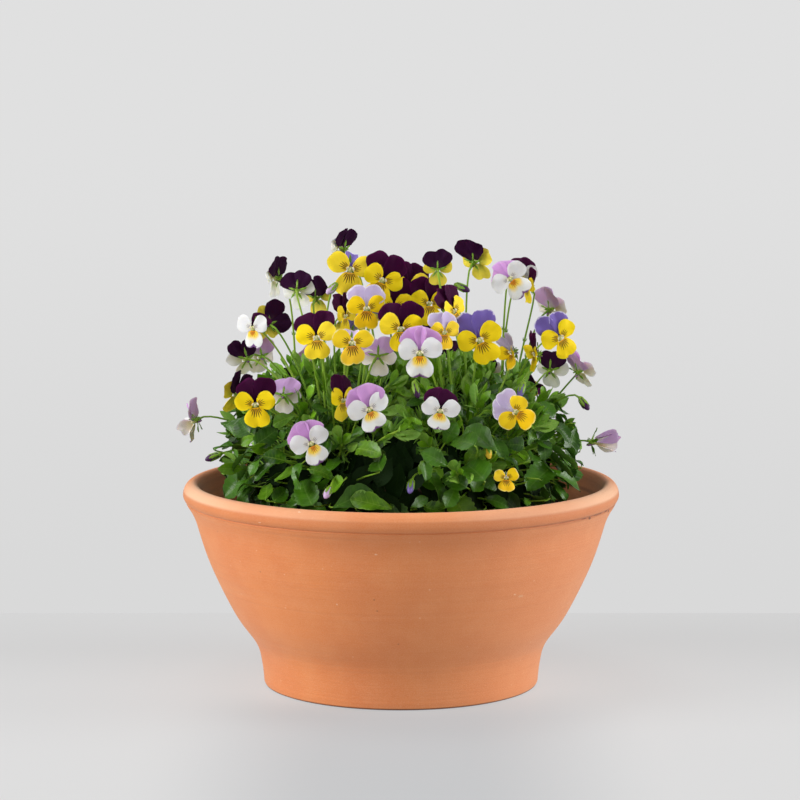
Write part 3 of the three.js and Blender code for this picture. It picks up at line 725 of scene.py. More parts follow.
@dataclass(frozen=True)
class TerracottaFinish:
    """Fired clay: pale orange with soft patches, fine grain, thrown lines and a few chips, with painted
    shade in the crease, on the lower bead, under the rim and on its inner edge, a painted highlight on
    the rim's top and a painted contact shadow at the foot.
    """

    body: int = 0xE18545
    pale: int = 0xEEA470
    deep: int = 0xD2733A
    rosy: int = 0xDE8A5A
    # Pale clay of the chips and grain, also used for the painted highlight on the rim's top
    chip: int = 0xF4CBA8
    pit: int = 0x8A4F35
    # Painted contact shadow along the bottom edge of the foot
    dusty: int = 0x4A2618
    shade: int = 0x7E4026
    crease: float = 0.1361
    # The band of the painted shade along the crease under the bead
    crease_shade_band: tuple[float, float] = (0.0022, 0.0003)
    # Bands of the painted shade on the lower bead and of the painted shadow under the rim
    bead_shade_top: tuple[float, float] = (0.1455, 0.1435)
    bead_shade_foot: tuple[float, float] = (0.1335, 0.1365)
    under_top: tuple[float, float] = (0.1365, 0.134)
    under_foot: tuple[float, float] = (0.106, 0.134)
    under_middle: tuple[float, float] = (0.1, 0.03)
    # Reach and height of the painted shade on the rim's inner edge
    inner_rim_shade_reach: tuple[float, float] = (0.1535, 0.15)
    inner_rim_shade_foot: tuple[float, float] = (0.138, 0.144)
    # Where the painted highlight on the rim's top starts, in height and towards the front
    rim_highlight_top: tuple[float, float] = (0.1428, 0.1452)
    rim_highlight_front: tuple[float, float] = (0.02, -0.05)
    contact_shadow_band: tuple[float, float] = (0.0018, 0.0009)
    mark_share: float = 0.85
    line_spread: float = 5.0
    line_rise: float = 420.0
    marks: tuple[tuple[float, float, float, float, int], ...] = (
        (146.6, 136.2, 1.5, 1.1, 0x46281C),
        (148.9, 134.9, 0.8, 1.5, 0x5A3424),
        (140.0, 136.0, 5.0, 0.4, 0x6E4230),
        (133.4, 135.2, 1.2, 1.5, 0x5A3424),
        (129.0, 135.9, 2.6, 0.5, 0x6E4230),
        (-17.2, 120.6, 1.4, 0.7, 0xEBBB97),
        (-44.5, 82.0, 0.8, 0.7, 0xEBBB97),
        (84.0, 84.0, 2.6, 1.2, 0xE2A47A),
        (79.5, 86.0, 1.0, 0.6, 0xEBBB97),
        (-98.0, 139.0, 1.6, 0.5, 0xEEC4A2),
        (-70.0, 148.6, 1.6, 0.5, 0xEBBB97),
    )

    def make(self) -> bpy.types.Material:
        """The material of the pot.

        Returns:
            The material.
        """
        material, wiring, shader = new_finish("terracotta")
        (patches,) = wiring.effect(SharedEffect.MOTTLE, Scale=11.0, Low=0.1, High=0.75)
        (clouds,) = wiring.effect(SharedEffect.MOTTLE, Scale=55.0, Low=0.38, High=0.72)
        grain, specks = wiring.effect(SharedEffect.GRAIN, Scale=1500.0, Speck_Scale=150.0,
                                      Speck_Size=0.14)
        _, pits = wiring.effect(SharedEffect.GRAIN, Scale=700.0, Speck_Scale=62.0,
                                Speck_Size=0.055)
        x, y, height = wiring.parts(wiring.place())
        rounds = wiring.fed(wiring.node("ShaderNodeCombineXYZ"), x * self.line_spread,
                            y * self.line_spread, height * self.line_rise)
        lines = wiring.noise(rounds, 1.0, 3.0, 0.6)
        aside = abs(x)
        spots = [
            (shade, wiring.effect(SharedEffect.MARK, Across=across * MM, Up=up * MM,
                                  Wide=wide * MM, High=high * MM)[0] * self.mark_share)
            for across, up, wide, high, shade in self.marks
        ]
        # Painted shade: a dark line along the crease under the bead
        crease_shade = abs(height - self.crease).step(*self.crease_shade_band)
        # Painted highlight: the rim's top paler at the sides than in the middle, strongest at the far
        # sides
        rim_highlight = aside.step(0.02, 0.07) * 0.22 + aside.step(0.1, 0.15) * 0.34 + 0.06
        # Painted shade on the lower half of the bead
        bead = height.step(*self.bead_shade_top) * height.step(*self.bead_shade_foot)
        # Painted shadow of the rim on the wall just under the crease, in the middle of the front
        under = (height.step(*self.under_top) * height.step(*self.under_foot)
                 * aside.step(*self.under_middle))
        # Painted shade on the inner edge of the rim
        lip = (wiring.maths("SQRT", x * x + y * y).step(*self.inner_rim_shade_reach)
               * height.step(*self.inner_rim_shade_foot))
        layers = [
            (self.rosy, x.step(-0.08, 0.14) * 0.6),
            (self.pale, clouds * 0.14),
            (self.deep, lines.step(0.45, 0.75) * 0.14),
            (self.pale, lines.step(0.45, 0.2) * 0.1),
            (self.chip, grain.step(0.35, 0.7) * 0.16),
            (self.chip, specks * 0.36),
            (self.pit, pits * 0.35),
            *spots,
            # Painted shade in the crease, stronger on the right, where it also stands for the dark
            # marks in the crease there
            (self.shade, crease_shade * (x.step(0.06, 0.13) * 0.28 + 0.1)),
            # Painted highlight along the top of the rim, on the front half
            (self.chip, rim_highlight * height.step(*self.rim_highlight_top) * y.step(*self.rim_highlight_front)),
            # Painted shade on the lower bead and painted shadow under the rim
            (self.shade, (bead + under) * 0.18),
            # Painted shade on the inner edge of the rim
            (self.shade, lip * 0.35),
            # Painted contact shadow along the bottom edge of the foot
            (self.dusty, height.step(*self.contact_shadow_band) * 0.85),
        ]
        base = wiring.blend(patches, colour(self.deep), colour(self.body))
        for code, share in layers:
            base = base.mixed(code, share)
        gritty = wiring.bump(grain, 0.00025, 0.7, wiring.bump(lines, 0.0007, 0.5))
        wiring.fill(shader, Base_Color=base, Roughness=grain * 0.2 + 0.56, Specular_IOR_Level=0.4,
                    Sheen_Weight=0.18, Sheen_Roughness=0.45, Sheen_Tint=colour(0xFFF0D8),
                    Normal=wiring.bump(1.0 - pits, 0.0004, 0.5, gritty))
        return material


@dataclass
class BowlPot:
    """The terracotta bowl with its rolled rim, foot and three drain holes."""

    rim_radius: float = 160
    height: float = 150
    foot_radius: float = 101
    wall: float = 9
    floor: float = 11
    drain_radius: float = 6
    drain_ring: float = 58
    drain_turns: tuple[float, ...] = (90, 210, 330)
    segments: int = 160
    finish: TerracottaFinish = TerracottaFinish()

    def bowl_line(self) -> Array:
        """The outside from the waist above the foot to under the rim.

        Returns:
            Radius and height of each point.
        """
        foot, rim = self.foot_radius, self.rim_radius
        return spline([(foot + 3.0, 23.5), (foot + 4.7, 28.5), (foot + 8.3, 35), (foot + 22, 54.5),
                       (foot + 39.4, 90.5), (rim - 9.3, 122)], 8)

    def rim_line(self) -> Array:
        """The flare under the rim, the crease, and the bead over the top to its inner edge.

        Returns:
            Radius and height of each point.
        """
        rim, top = self.rim_radius, self.height
        flare = spline([(rim - 7.5, top - 23.8), (rim - 5.5, top - 20), (rim - 3.5, top - 17),
                        (rim - 2.3, top - 14.7)], 4)
        crease = [(rim - 2.4, top - 14.3), (rim - 2.7, top - 13.9), (rim - 2.3, top - 13.5),
                  (rim - 1.7, top - 13.1)]
        bead = spline([(rim - 1.1, top - 12.4), (rim - 0.2, top - 10.4), (rim, top - 8.4),
                       (rim - 0.6, top - 5.4), (rim - 2.2, top - 2.6), (rim - 4.6, top - 0.7),
                       (rim - 7.6, top), (rim - 10.2, top - 1.0), (rim - 11.6, top - 3.2)], 4)
        return np.vstack([flare, crease, bead])

    def inner_line(self, gap: float, count: int = 24) -> Array:
        """The outside line moved in by the wall and a gap.

        Args:
            gap: How far inside the wall.
            count: How many points to return.

        Returns:
            Radius and height of each point, from the floor up.
        """
        line = self.bowl_line()
        along = np.gradient(line, axis=0)
        along /= np.linalg.norm(along, axis=1, keepdims=True)
        away = np.stack([-along[:, 1], along[:, 0]], axis=1) * (self.wall + gap)
        inner = line + away
        return evenly(inner[inner[:, 1] > 27], count)

    def inner_radius(self, height: float | Array) -> float | Array:
        """The radius of the hollow at a height."""
        line = self.inner_line(0)
        return np.interp(height, line[:, 1], line[:, 0], right=self.rim_radius - 15)

    def profile(self) -> Array:
        """The whole section from the axis at the bottom round to the axis at the floor.

        Returns:
            Radius and height of each point.
        """
        foot = self.foot_radius
        outside = [(0, 0), (foot * 0.5, 0), (foot - 2.4, 0), (foot - 0.8, 0.6), (foot, 2.2)]
        band = [(foot + 0.3, 6), (foot + 1.0, 12.4), (foot + 2.1, 19)]
        inner = self.inner_line(0)[::-1]
        edge = inner[-1]
        corner = spline([edge, (edge[0] - 3, 17), (edge[0] - 10, self.floor + 1),
                         (edge[0] - 18, self.floor)], 4)[1:]
        inside = [(30, self.floor), (0, self.floor)]
        return np.vstack([outside, band, self.bowl_line(), self.rim_line(), inner, corner, inside])

    def out_of_true(self, points: Array) -> Array:
        """Moves the points the little that a pressed and fired bowl is out of true.

        Args:
            points: The points of the bowl.

        Returns:
            The moved points.
        """
        turn = np.arctan2(points[:, 1], points[:, 0])
        lift = np.clip(points[:, 2] / self.height, 0, 1)
        swell = 1 - 0.0011 * lift * (1 + np.sin(2 * turn + 0.6)) - 0.0005 * (1 + np.sin(3 * turn))
        moved = points.copy()
        moved[:, :2] *= swell[:, None]
        return moved

    def build(self) -> None:
        """Turns the bowl, drills its drain holes and gives it its finish."""
        stock = Stock()
        stock.turned(self.profile(), self.segments, self.out_of_true)
        pot = stock.make("bowl_pot", [self.finish.make()], sharp=38)
        drill = self.drill()
        cut = pot.modifiers.new("drain holes", "BOOLEAN")
        cut.object = drill
        cut.operation = "DIFFERENCE"
        cut.solver = "EXACT"
        seen = bpy.context.evaluated_depsgraph_get()
        drilled = bpy.data.meshes.new_from_object(pot.evaluated_get(seen))
        pot.modifiers.clear()
        pot.data = drilled
        drilled.name = "bowl_pot"
        bpy.data.objects.remove(drill)
        settle(pot, "terracotta", "pot")

    def drill(self) -> bpy.types.Object:
        """Three upright pins where the drain holes go.

        Returns:
            The pins, as one object.
        """
        stock = Stock()
        for turn in self.drain_turns:
            middle = self.drain_ring * toward(math.radians(turn))
            line = np.array([middle + UP * z for z in (-6.0, self.floor / 2, self.floor + 6)])
            stock.tube(line, self.drain_radius, 28, 0)
        return stock.make("drill", [])


# Potting soil


@dataclass(frozen=True)
class SoilFinish:
    """Dark peaty potting soil with paler fibres and a few white grains."""

    dark: int = 0x1B130D
    brown: int = 0x3A2A1D
    fibre: int = 0x6E5439
    white: int = 0xD9D2C4

    def make(self) -> bpy.types.Material:
        """The material of the soil.

        Returns:
            The material.
        """
        material, wiring, shader = new_finish("potting soil")
        (patches,) = wiring.effect(SharedEffect.MOTTLE, Scale=220.0, Low=0.35, High=0.68)
        grain, specks = wiring.effect(SharedEffect.GRAIN, Scale=1800.0, Speck_Scale=420.0,
                                      Speck_Size=0.3)
        base = wiring.blend(patches, colour(self.dark), colour(self.brown))
        base = base.mixed(self.brown, grain.step(0.55, 0.75)).mixed(self.fibre, specks * 0.6)
        base = base.mixed(self.white, wiring.tint().step(0.93, 0.97) * 0.85)
        wiring.fill(shader, Base_Color=base, Roughness=0.95, Specular_IOR_Level=0.2,
                    Normal=wiring.bump(grain, 0.001, 0.8))
        return material


@dataclass
class PottingSoil:
    """The filling of the pot: a low mound with a crumbly top."""

    pot: BowlPot
    level: float = 122
    mound: float = 5
    gap: float = 0.3
    rings: int = 26
    segments: int = 96
    crumbs: int = 420
    lump_scale: float = 0.11
    lump_height: float = 1.5
    finish: SoilFinish = SoilFinish()

    @property
    def edge(self) -> float:
        """The radius of the top of the soil."""
        return self.pot.inner_radius(self.level) - self.gap - 0.2

    def height(self, radius: float | Array) -> float | Array:
        """The even height of the soil at a radius."""
        return self.level + self.mound * (1 - (radius / self.pot.rim_radius) ** 2)

    def crumbly(self, points: Array) -> Array:
        """Lifts and lowers the top of the soil in small lumps.

        Args:
            points: The points of the soil.

        Returns:
            The moved points.
        """
        moved = points.copy()
        edge = self.edge
        for point in moved:
            if point[2] > self.level - 0.5:
                lump = noise.fractal(Vector(point * self.lump_scale), 0.7, 2.1, 4)
                inside = ease(edge, edge - 6, math.hypot(point[0], point[1]))
                point[2] += self.lump_height * lump * inside
        return moved

    def build(self) -> None:
        """Fills the pot and strews the crumbs."""
        stock = Stock()
        wall = self.pot.inner_line(self.gap, 14)
        wall = wall[wall[:, 1] < self.level - 1]
        floor = self.pot.floor + self.gap
        radii = np.linspace(self.edge, 0, self.rings)
        top = np.stack([radii, self.height(radii)], axis=1)
        profile = np.vstack([[(0, floor), (40, floor), (86 - self.gap, floor)], wall, top])
        stock.turned(profile, self.segments, self.crumbly)
        self.strew(stock)
        settle(stock.make("potting_mix", [self.finish.make()], sharp=180), "potting_soil", "soil")

    def strew(self, stock: Stock) -> None:
        """Adds loose crumbs, half sunk in the top of the soil.

        Args:
            stock: Where they go.
        """
        draw = Draw(41)
        edge = self.edge
        for _ in range(self.crumbs):
            radius = (edge - 4) * math.sqrt(draw(0, 1))
            turn = draw(0, FULL_TURN)
            size = draw(0.8, 2.6)
            centre = radius * toward(turn) + UP * (self.height(radius) + size * 0.2)
            way = unit(vector(draw(-1, 1), draw(-1, 1), draw(-0.4, 0.4)))
            half = size * draw(0.8, 1.9)
            path = np.array([centre + way * half * s for s in (-1, -0.55, 0.1, 0.7, 1)])
            path[1:4] += np.array([[draw(-0.3, 0.3) for _ in range(3)] for _ in range(3)]) * size
            radii = size * np.array([0.25, draw(0.6, 0.95), 1, draw(0.5, 0.9), 0.2]) * 0.8
            stock.tube(path, radii, 6, 0, draw(0, 1))


# Flower heads


class Variety(Enum):
    """The five colourings of the violets, named as their slots are."""

    YELLOW_DARK = "yellow_dark"
    YELLOW_VIOLET = "yellow_violet"
    YELLOW_PALE = "yellow_pale"
    WHITE_DARK = "white_dark"
    WHITE_LILAC = "white_lilac"


@dataclass(frozen=True)
class PetalFinish:
    """One skin of a petal: its colours from the throat to the rim, veins, whiskers and blotches."""

    body: int
    base: int
    edge: int
    vein: int
    vein_share: float = 0.25
    base_reach: float = 0.45
    edge_start: float = 0.9
    whisker: int | None = None
    whisker_limit: float = 0.27
    whisker_reach: float = 0.5
    whisker_spacing: float = 0.1
    whisker_width: float = 0.27
    eye: int | None = None
    eye_reach: float = 0.3
    notch: int | None = None
    base_start: float = 0.05
    gloss: float = 0.2
    glow: float = 0.12

    def make(self, name: str) -> bpy.types.Material:
        """The material of this skin.

        Args:
            name: The name of the material.

        Returns:
            The new material.
        """
        material, wiring, shader = new_finish(name)
        along, across = wiring.chart()
        tint = wiring.tint()
        side = abs(across - 0.5)
        wobble = (wiring.noise(wiring.place(), 260.0) - 0.5) * 0.22
        reach = along + wobble
        base = wiring.blend(reach.step(self.base_start, self.base_reach), colour(self.base),
                            colour(self.body))
        base = base.mixed(self.edge, reach.step(self.edge_start, 1.0))
        (veins,) = wiring.effect(SharedEffect.LINES, Value=across + wobble * 0.06, Count=30.0,
                                 Width=0.3)
        base = base.mixed(self.vein, veins * (along.step(1.05, 0.35) * self.vein_share))
        if self.eye is not None:
            spot = (along + side * 0.8 + wobble).step(self.eye_reach, self.eye_reach * 0.55)
            base = base.mixed(self.eye, spot)
        if self.notch is not None:
            base = base.mixed(self.notch, (side + (1.0 - reach)).step(0.2, 0.1))
        base = wiring.signal(wiring.fill(
            wiring.node("ShaderNodeHueSaturation"), Value=tint * 0.26 + 0.87,
            Saturation=1.05 - tint * 0.1, Color=base).outputs[0])
        if self.whisker is not None:
            (lines,) = wiring.effect(SharedEffect.WHISKERS, Along=along, Across=across,
                                     Spacing=self.whisker_spacing, Limit=self.whisker_limit,
                                     Reach=self.whisker_reach, Width=self.whisker_width)
            base = base.mixed(self.whisker, lines)
        velvety = wiring.noise(wiring.place(), 2600.0, 1.0)
        ribbed = wiring.bump(veins, 0.00012, 0.5)
        wiring.fill(shader, Base_Color=base, Roughness=0.62, Specular_IOR_Level=self.gloss,
                    Subsurface_Weight=self.glow, Subsurface_Radius=(0.002, 0.0015, 0.001),
                    Subsurface_Scale=1.0, Normal=wiring.bump(velvety, 0.0001, 0.4, ribbed))
        return material


@dataclass(frozen=True)
class HeadPalette:
    """The finishes of one variety: upper, side and lip petals in front, both kinds behind, the spur."""

    upper: PetalFinish
    side: PetalFinish
    lip: PetalFinish
    upper_back: PetalFinish
    face_back: PetalFinish
    spur: PetalFinish

    def make(self, variety: Variety) -> list[bpy.types.Material]:
        """The materials of a variety.

        Args:
            variety: The variety that they are named for.

        Returns:
            The materials in the order of Skin.
        """
        made = [getattr(self, part.name).make(f"{variety.value} {part.name.replace('_', ' ')}")
                for part in fields(self)]
        return [*made, make_eye(f"{variety.value} eye")]


class Skin(Enum):
    """The finish numbers on a flower head."""

    UPPER = 0
    SIDE = 1
    LIP = 2
    UPPER_BACK = 3
    FACE_BACK = 4
    SPUR = 5
    EYE = 6


def make_eye(name: str, knob: int = 0xA6B440, beard: int = 0xFBF5DA,
             mottled: int = 0xEAD68A) -> bpy.types.Material:
    """The pale beard and the green knob in the throat.

    Args:
        name: The name of the material.
        knob: The colour of the knob.
        beard: The colour of the beard.
        mottled: The colour of the fine mottling on both.

    Returns:
        The new material.
    """
    material, wiring, shader = new_finish(name)
    fine = wiring.noise(wiring.place(), 2400.0)
    base = wiring.blend(wiring.tint().step(0.1, 0.5), colour(knob), colour(beard))
    wiring.fill(shader, Base_Color=base.mixed(mottled, fine * 0.2), Roughness=0.8,
                Normal=wiring.bump(fine, 0.0003, 0.8))
    return material


WHISKER_BROWN = 0x35100C
VIOLET_UPPER = PetalFinish(0x37052D, 0x1E021B, 0x470A3A, 0x180116, glow=0.04, gloss=0.06)
VIOLET_BACK = PetalFinish(0x2E0C2E, 0x42283A, 0x260A26, 0x1A051A, glow=0.04, gloss=0.06)
YELLOW_SIDE = PetalFinish(0xFFDC0A, 0xF6C800, 0xFFE32C, 0xE6B400, 0.15, whisker=WHISKER_BROWN,
                          eye=0xFFF4C4, eye_reach=0.12)
YELLOW_LIP = PetalFinish(0xFFDA06, 0xF6BC00, 0xFFE32C, 0xE4AC00, 0.15, whisker=WHISKER_BROWN,
                         whisker_limit=0.33, whisker_reach=0.6, whisker_spacing=0.088,
                         eye=0xF0A81A, eye_reach=0.16)
YELLOW_BACK = PetalFinish(0xF0DA48, 0xB9BC44, 0xF6DF44, 0xB9B23A, 0.45, base_reach=0.7)
WHITE_SIDE = PetalFinish(0xE6E5E3, 0xE4DFD0, 0xE9E8E6, 0xCDC6D0, 0.25, whisker=0x4A2A52,
                         whisker_limit=0.2, whisker_reach=0.36, whisker_width=0.18,
                         eye=0xFFF8DF, eye_reach=0.12, glow=0.2)
WHITE_LIP = PetalFinish(0xE8E7E1, 0xFFD21E, 0xE9E8E6, 0xD6CFC2, 0.25, whisker=0x8A4214,
                        whisker_limit=0.24, whisker_reach=0.46, whisker_spacing=0.09,
                        whisker_width=0.2, eye=0xEA8C06, eye_reach=0.36, base_start=0.3,
                        base_reach=0.62, glow=0.2, notch=0x6A3A78)
WHITE_BACK = PetalFinish(0xF3F1E6, 0xD9DCAA, 0xF7F5F0, 0xC9C9A4, 0.5, base_reach=0.7, glow=0.2)
PALE_SIDE = replace(YELLOW_SIDE, body=0xFFD514, base=0xF5C40A, edge=0xFFEFA0, vein=0xE0AC10,
                    whisker_reach=0.52, eye=0xFFF6D2, edge_start=0.93)
PALE_LIP = replace(YELLOW_LIP, body=0xFFCC0C, base=0xF3A606, edge=0xFFE678, vein=0xD99A0C,
                   whisker_reach=0.66, eye=0xE08C12, eye_reach=0.2)

PALETTES = {
    Variety.YELLOW_DARK: HeadPalette(
        VIOLET_UPPER, YELLOW_SIDE, YELLOW_LIP, VIOLET_BACK, YELLOW_BACK,
        PetalFinish(0x6B4A62, 0x9FA55A, 0x5A3560, 0x4A2A4A)),
    Variety.YELLOW_VIOLET: HeadPalette(
        PetalFinish(0x7562AE, 0x5B4796, 0xD2C8EA, 0x5A4790, 0.35, edge_start=0.94),
        YELLOW_SIDE, YELLOW_LIP,
        PetalFinish(0x8474B6, 0xA59CB8, 0xB9ACDA, 0x5F4D94, 0.5), YELLOW_BACK,
        PetalFinish(0x7E6BB0, 0x9FA55A, 0x6A57A0, 0x55448A)),
    Variety.YELLOW_PALE: HeadPalette(
        PetalFinish(0xC9B8DC, 0xE6DDEB, 0xEFE8F2, 0x9C86BC, 0.4), PALE_SIDE, PALE_LIP,
        PetalFinish(0xC4B2D8, 0xDCDCC4, 0xE6DEEE, 0x8F78B2, 0.5),
        PetalFinish(0xF1E3A8, 0xC8C46E, 0xF4EBC6, 0xBFAE58, 0.6, base_reach=0.7),
        PetalFinish(0xA592C4, 0xA9AE66, 0x8F7AB4, 0x7A66A0)),
    Variety.WHITE_DARK: HeadPalette(
        VIOLET_UPPER, WHITE_SIDE, WHITE_LIP, VIOLET_BACK, WHITE_BACK,
        PetalFinish(0x7A4A80, 0xA9AE66, 0x6A3A70, 0x5A2C60)),
    Variety.WHITE_LILAC: HeadPalette(
        PetalFinish(0xCC95D1, 0xB884C4, 0xD8AADC, 0xA671B4, 0.35), WHITE_SIDE, WHITE_LIP,
        PetalFinish(0xC39BCB, 0xD8CCD2, 0xCFAAD6, 0x9A68AC, 0.5),
        PetalFinish(0xEFE6DC, 0xD2CF9C, 0xEFE4EC, 0xB49A8C, 0.7, base_reach=0.7, glow=0.2),
        PetalFinish(0xA878B4, 0xA9AE66, 0x96649F, 0x80508C)),
}

# How long and how wide the upper petals of each variety are beside the longest ones
UPPER_SHARES = {
    Variety.YELLOW_DARK: (1.0, 1.0),
    Variety.YELLOW_VIOLET: (1.0, 0.96),
    Variety.YELLOW_PALE: (0.92, 1.0),
    Variety.WHITE_DARK: (0.87, 1.0),
    Variety.WHITE_LILAC: (0.87, 1.1),
}

# Half outlines from the claw to the tip: how far along, and how much of the half width
ROUND = ((0, 0.34), (0.1, 0.56), (0.26, 0.82), (0.44, 0.98), (0.6, 1.0), (0.78, 0.88),
         (0.92, 0.58), (0.98, 0.3), (1.0, 0.0))
FAN = ((0, 0.26), (0.12, 0.44), (0.3, 0.7), (0.48, 0.92), (0.64, 1.0), (0.8, 0.92), (0.93, 0.62),
       (0.985, 0.3), (1.0, 0.0))
NOTCHED = ((0, 0.36), (0.1, 0.55), (0.26, 0.77), (0.46, 0.95), (0.64, 1.0), (0.82, 0.9),
           (0.94, 0.66), (1.0, 0.38), (0.99, 0.15), (0.93, 0.0))


@dataclass(frozen=True)
class Petal:
    """One petal: the way it points, its sizes and how it is bent, as it grows on an open head."""

    turn: float
    length: float
    half_width: float
    lean: float
    depth: float
    outline: tuple[tuple[float, float], ...]
    front: Skin
    back: Skin
    cup: float
    curl: float
    ruffle: float
    fold_turn: float = 62
    closing_turn: float = 150
    fold_narrowing: float = 0.3

    def rim(self, columns: int) -> Array:
        """The whole outline, from the right side round to the left.

        Args:
            columns: How many points to return.

        Returns:
            How far along each is, and how far across from -1 to 1.
        """
        line = spline(self.outline, 6)
        right = line * (1, -1)
        return evenly(np.vstack([right, line[::-1][1:]]), columns)

    def grid(self, head: "Head", turn: float, draw: Draw, rows: int = 8,
             columns: int = 21) -> tuple[Array, Array]:
        """The petal on a head.

        Args:
            head: The head it grows on.
            turn: The way it points on that head, in degrees.
            draw: Where its small differences come from.
            rows: Points from the throat to the rim.
            columns: Points round the rim.

        Returns:
            The grid of its points, and along and across for each.
        """
        sway = np.linspace(-1, 1, columns)
        out = np.linspace(0, 1, rows)[:, None] ** 0.9
        claw = np.stack([np.zeros(columns), self.outline[0][1] * 0.95 * sway], axis=1)
        swell = 1 + 0.03 * np.sin(4 * sway + draw(0, 6.3)) + 0.02 * np.sin(11 * sway + draw(0, 6.3))
        rim = claw + (self.rim(columns) - claw) * swell[:, None]
        along_share = claw[:, 0] + (rim[:, 0] - claw[:, 0]) * out
        side = claw[:, 1] + (rim[:, 1] - claw[:, 1]) * out
        closing = head.fold * self.fold_turn + max(head.fold - 0.5, 0) * self.closing_turn
        lean = math.radians(self.lean + draw(-8, 8) + closing)
        width = self.half_width * (1 - self.fold_narrowing * head.fold) * draw(0.93, 1.06)
        length = self.length * draw(0.94, 1.05)
        if self.front is Skin.UPPER:
            long, wide = UPPER_SHARES[head.variety]
            length, width = length * long, width * wide
            lean -= math.radians(head.reflex)
        along = along_share * length
        across = side * width
        waves = self.ruffle * out**2 * np.sin(sway * math.pi * draw(2.2, 3.4) + draw(0, 6.3))
        waves = waves + 0.4 * self.ruffle * out**4 * np.sin(sway * math.pi * 7 + draw(0, 6.3))
        bend = self.curl * draw(0.3, 1.7) * length * (along_share**2)
        hollow = self.cup * width * side**2 + draw(-0.16, 0.16) * across * along_share
        hollow = hollow + draw(-0.04, 0.12) * width * np.abs(side)
        crumple = np.sin(0.5 * along + draw(0, 6.3)) * np.sin(0.55 * across + draw(0, 6.3))
        hollow = hollow + 0.55 * out * crumple
        reach = head.throat_radius * 0.7 + along * math.cos(lean) - bend * math.sin(lean)
        depth = self.depth + along * math.sin(lean) + bend * math.cos(lean) + hollow + waves
        heading = math.radians(turn + draw(-5, 5))
        c, s = math.cos(heading), math.sin(heading)
        grid = head.place(reach * c - across * s, reach * s + across * c, depth)
        return grid, np.stack(np.broadcast_arrays(out, sway / 2 + 0.5), axis=2)


PETALS = (
    Petal(21, 13.2, 7.1, 5, 0.7, ROUND, Skin.SIDE, Skin.FACE_BACK, -0.12, -0.07, 0.55),
    Petal(62, 18.6, 8.7, -6, -0.5, FAN, Skin.UPPER, Skin.UPPER_BACK, 0.05, -0.06, 0.7),
    Petal(118, 18.6, 8.7, -12, -0.9, FAN, Skin.UPPER, Skin.UPPER_BACK, 0.05, -0.06, 0.7),
    Petal(159, 13.2, 7.1, 5, 0.7, ROUND, Skin.SIDE, Skin.FACE_BACK, -0.12, -0.07, 0.55),
    Petal(270, 13.4, 9.0, 7, 0.5, NOTCHED, Skin.LIP, Skin.FACE_BACK, -0.14, -0.06, 0.6),
)


@dataclass(frozen=True)
class Head:
    """A flower head or bud: where its throat is, its own axes, its size and how far it is folded."""

    variety: Variety
    throat: Array
    right: Array
    up: Array
    level: Array
    top: Array
    facing: Array
    size: float
    fold: float
    reflex: float = 0
    throat_radius: float = 2.6

    @classmethod
    def from_row(cls, row: Sequence[Variety | float]) -> "Head":
        """A head from its row.

        Args:
            row: Variety, throat at x, y, z, yaw, pitch and roll in degrees, size, fold and,
                where the upper petals are bent back, by how many degrees.

        Returns:
            The head.
        """
        variety, x, y, z, yaw, pitch, roll, size, fold, *reflex = row
        turn, rise, tip = (math.radians(angle) for angle in (yaw, pitch, roll))
        facing = vector(math.sin(turn) * math.cos(rise), -math.cos(turn) * math.cos(rise),
                        math.sin(rise))
        level = toward(turn)
        top = np.cross(facing, level)
        return cls(variety, vector(x, y, z), swing(level, top, tip), swing(top, -level, tip),
                   level, top, facing, size, fold, *reflex)

    def place(self, across: Array, height: Array, depth: Array) -> Array:
        """Points on the head from how far right, up and forward of the throat they are.

        Args:
            across: How far right each is.
            height: How far up each is.
            depth: How far forward each is.

        Returns:
            The points.
        """
        across, height, depth = np.broadcast_arrays(across, height, depth)
        offset = (across[..., None] * self.right + height[..., None] * self.up
                  + depth[..., None] * self.facing)
        return self.throat + self.size * offset

    def places(self, points: Sequence[Sequence[float]]) -> Array:
        """The same for rows of across, height and depth."""
        return self.place(*np.array(points, float).T)

    def axis(self, *depths: float) -> Array:
        """Points straight before or behind the throat, one row each."""
        return self.throat + self.size * (np.array(depths)[:, None] * self.facing)

    def fifths(self) -> list[Array]:
        """Five directions evenly round the head, for its sepals."""
        return [swing(self.level, self.top, math.radians(90 + 72 * k)) for k in range(5)]

    def petal_turns(self) -> list[float]:
        """The way each petal points: as grown, or evenly spread where they fold forward."""
        return [petal.turn + (72 * i - 18 - petal.turn) * self.fold for i, petal in enumerate(PETALS)]


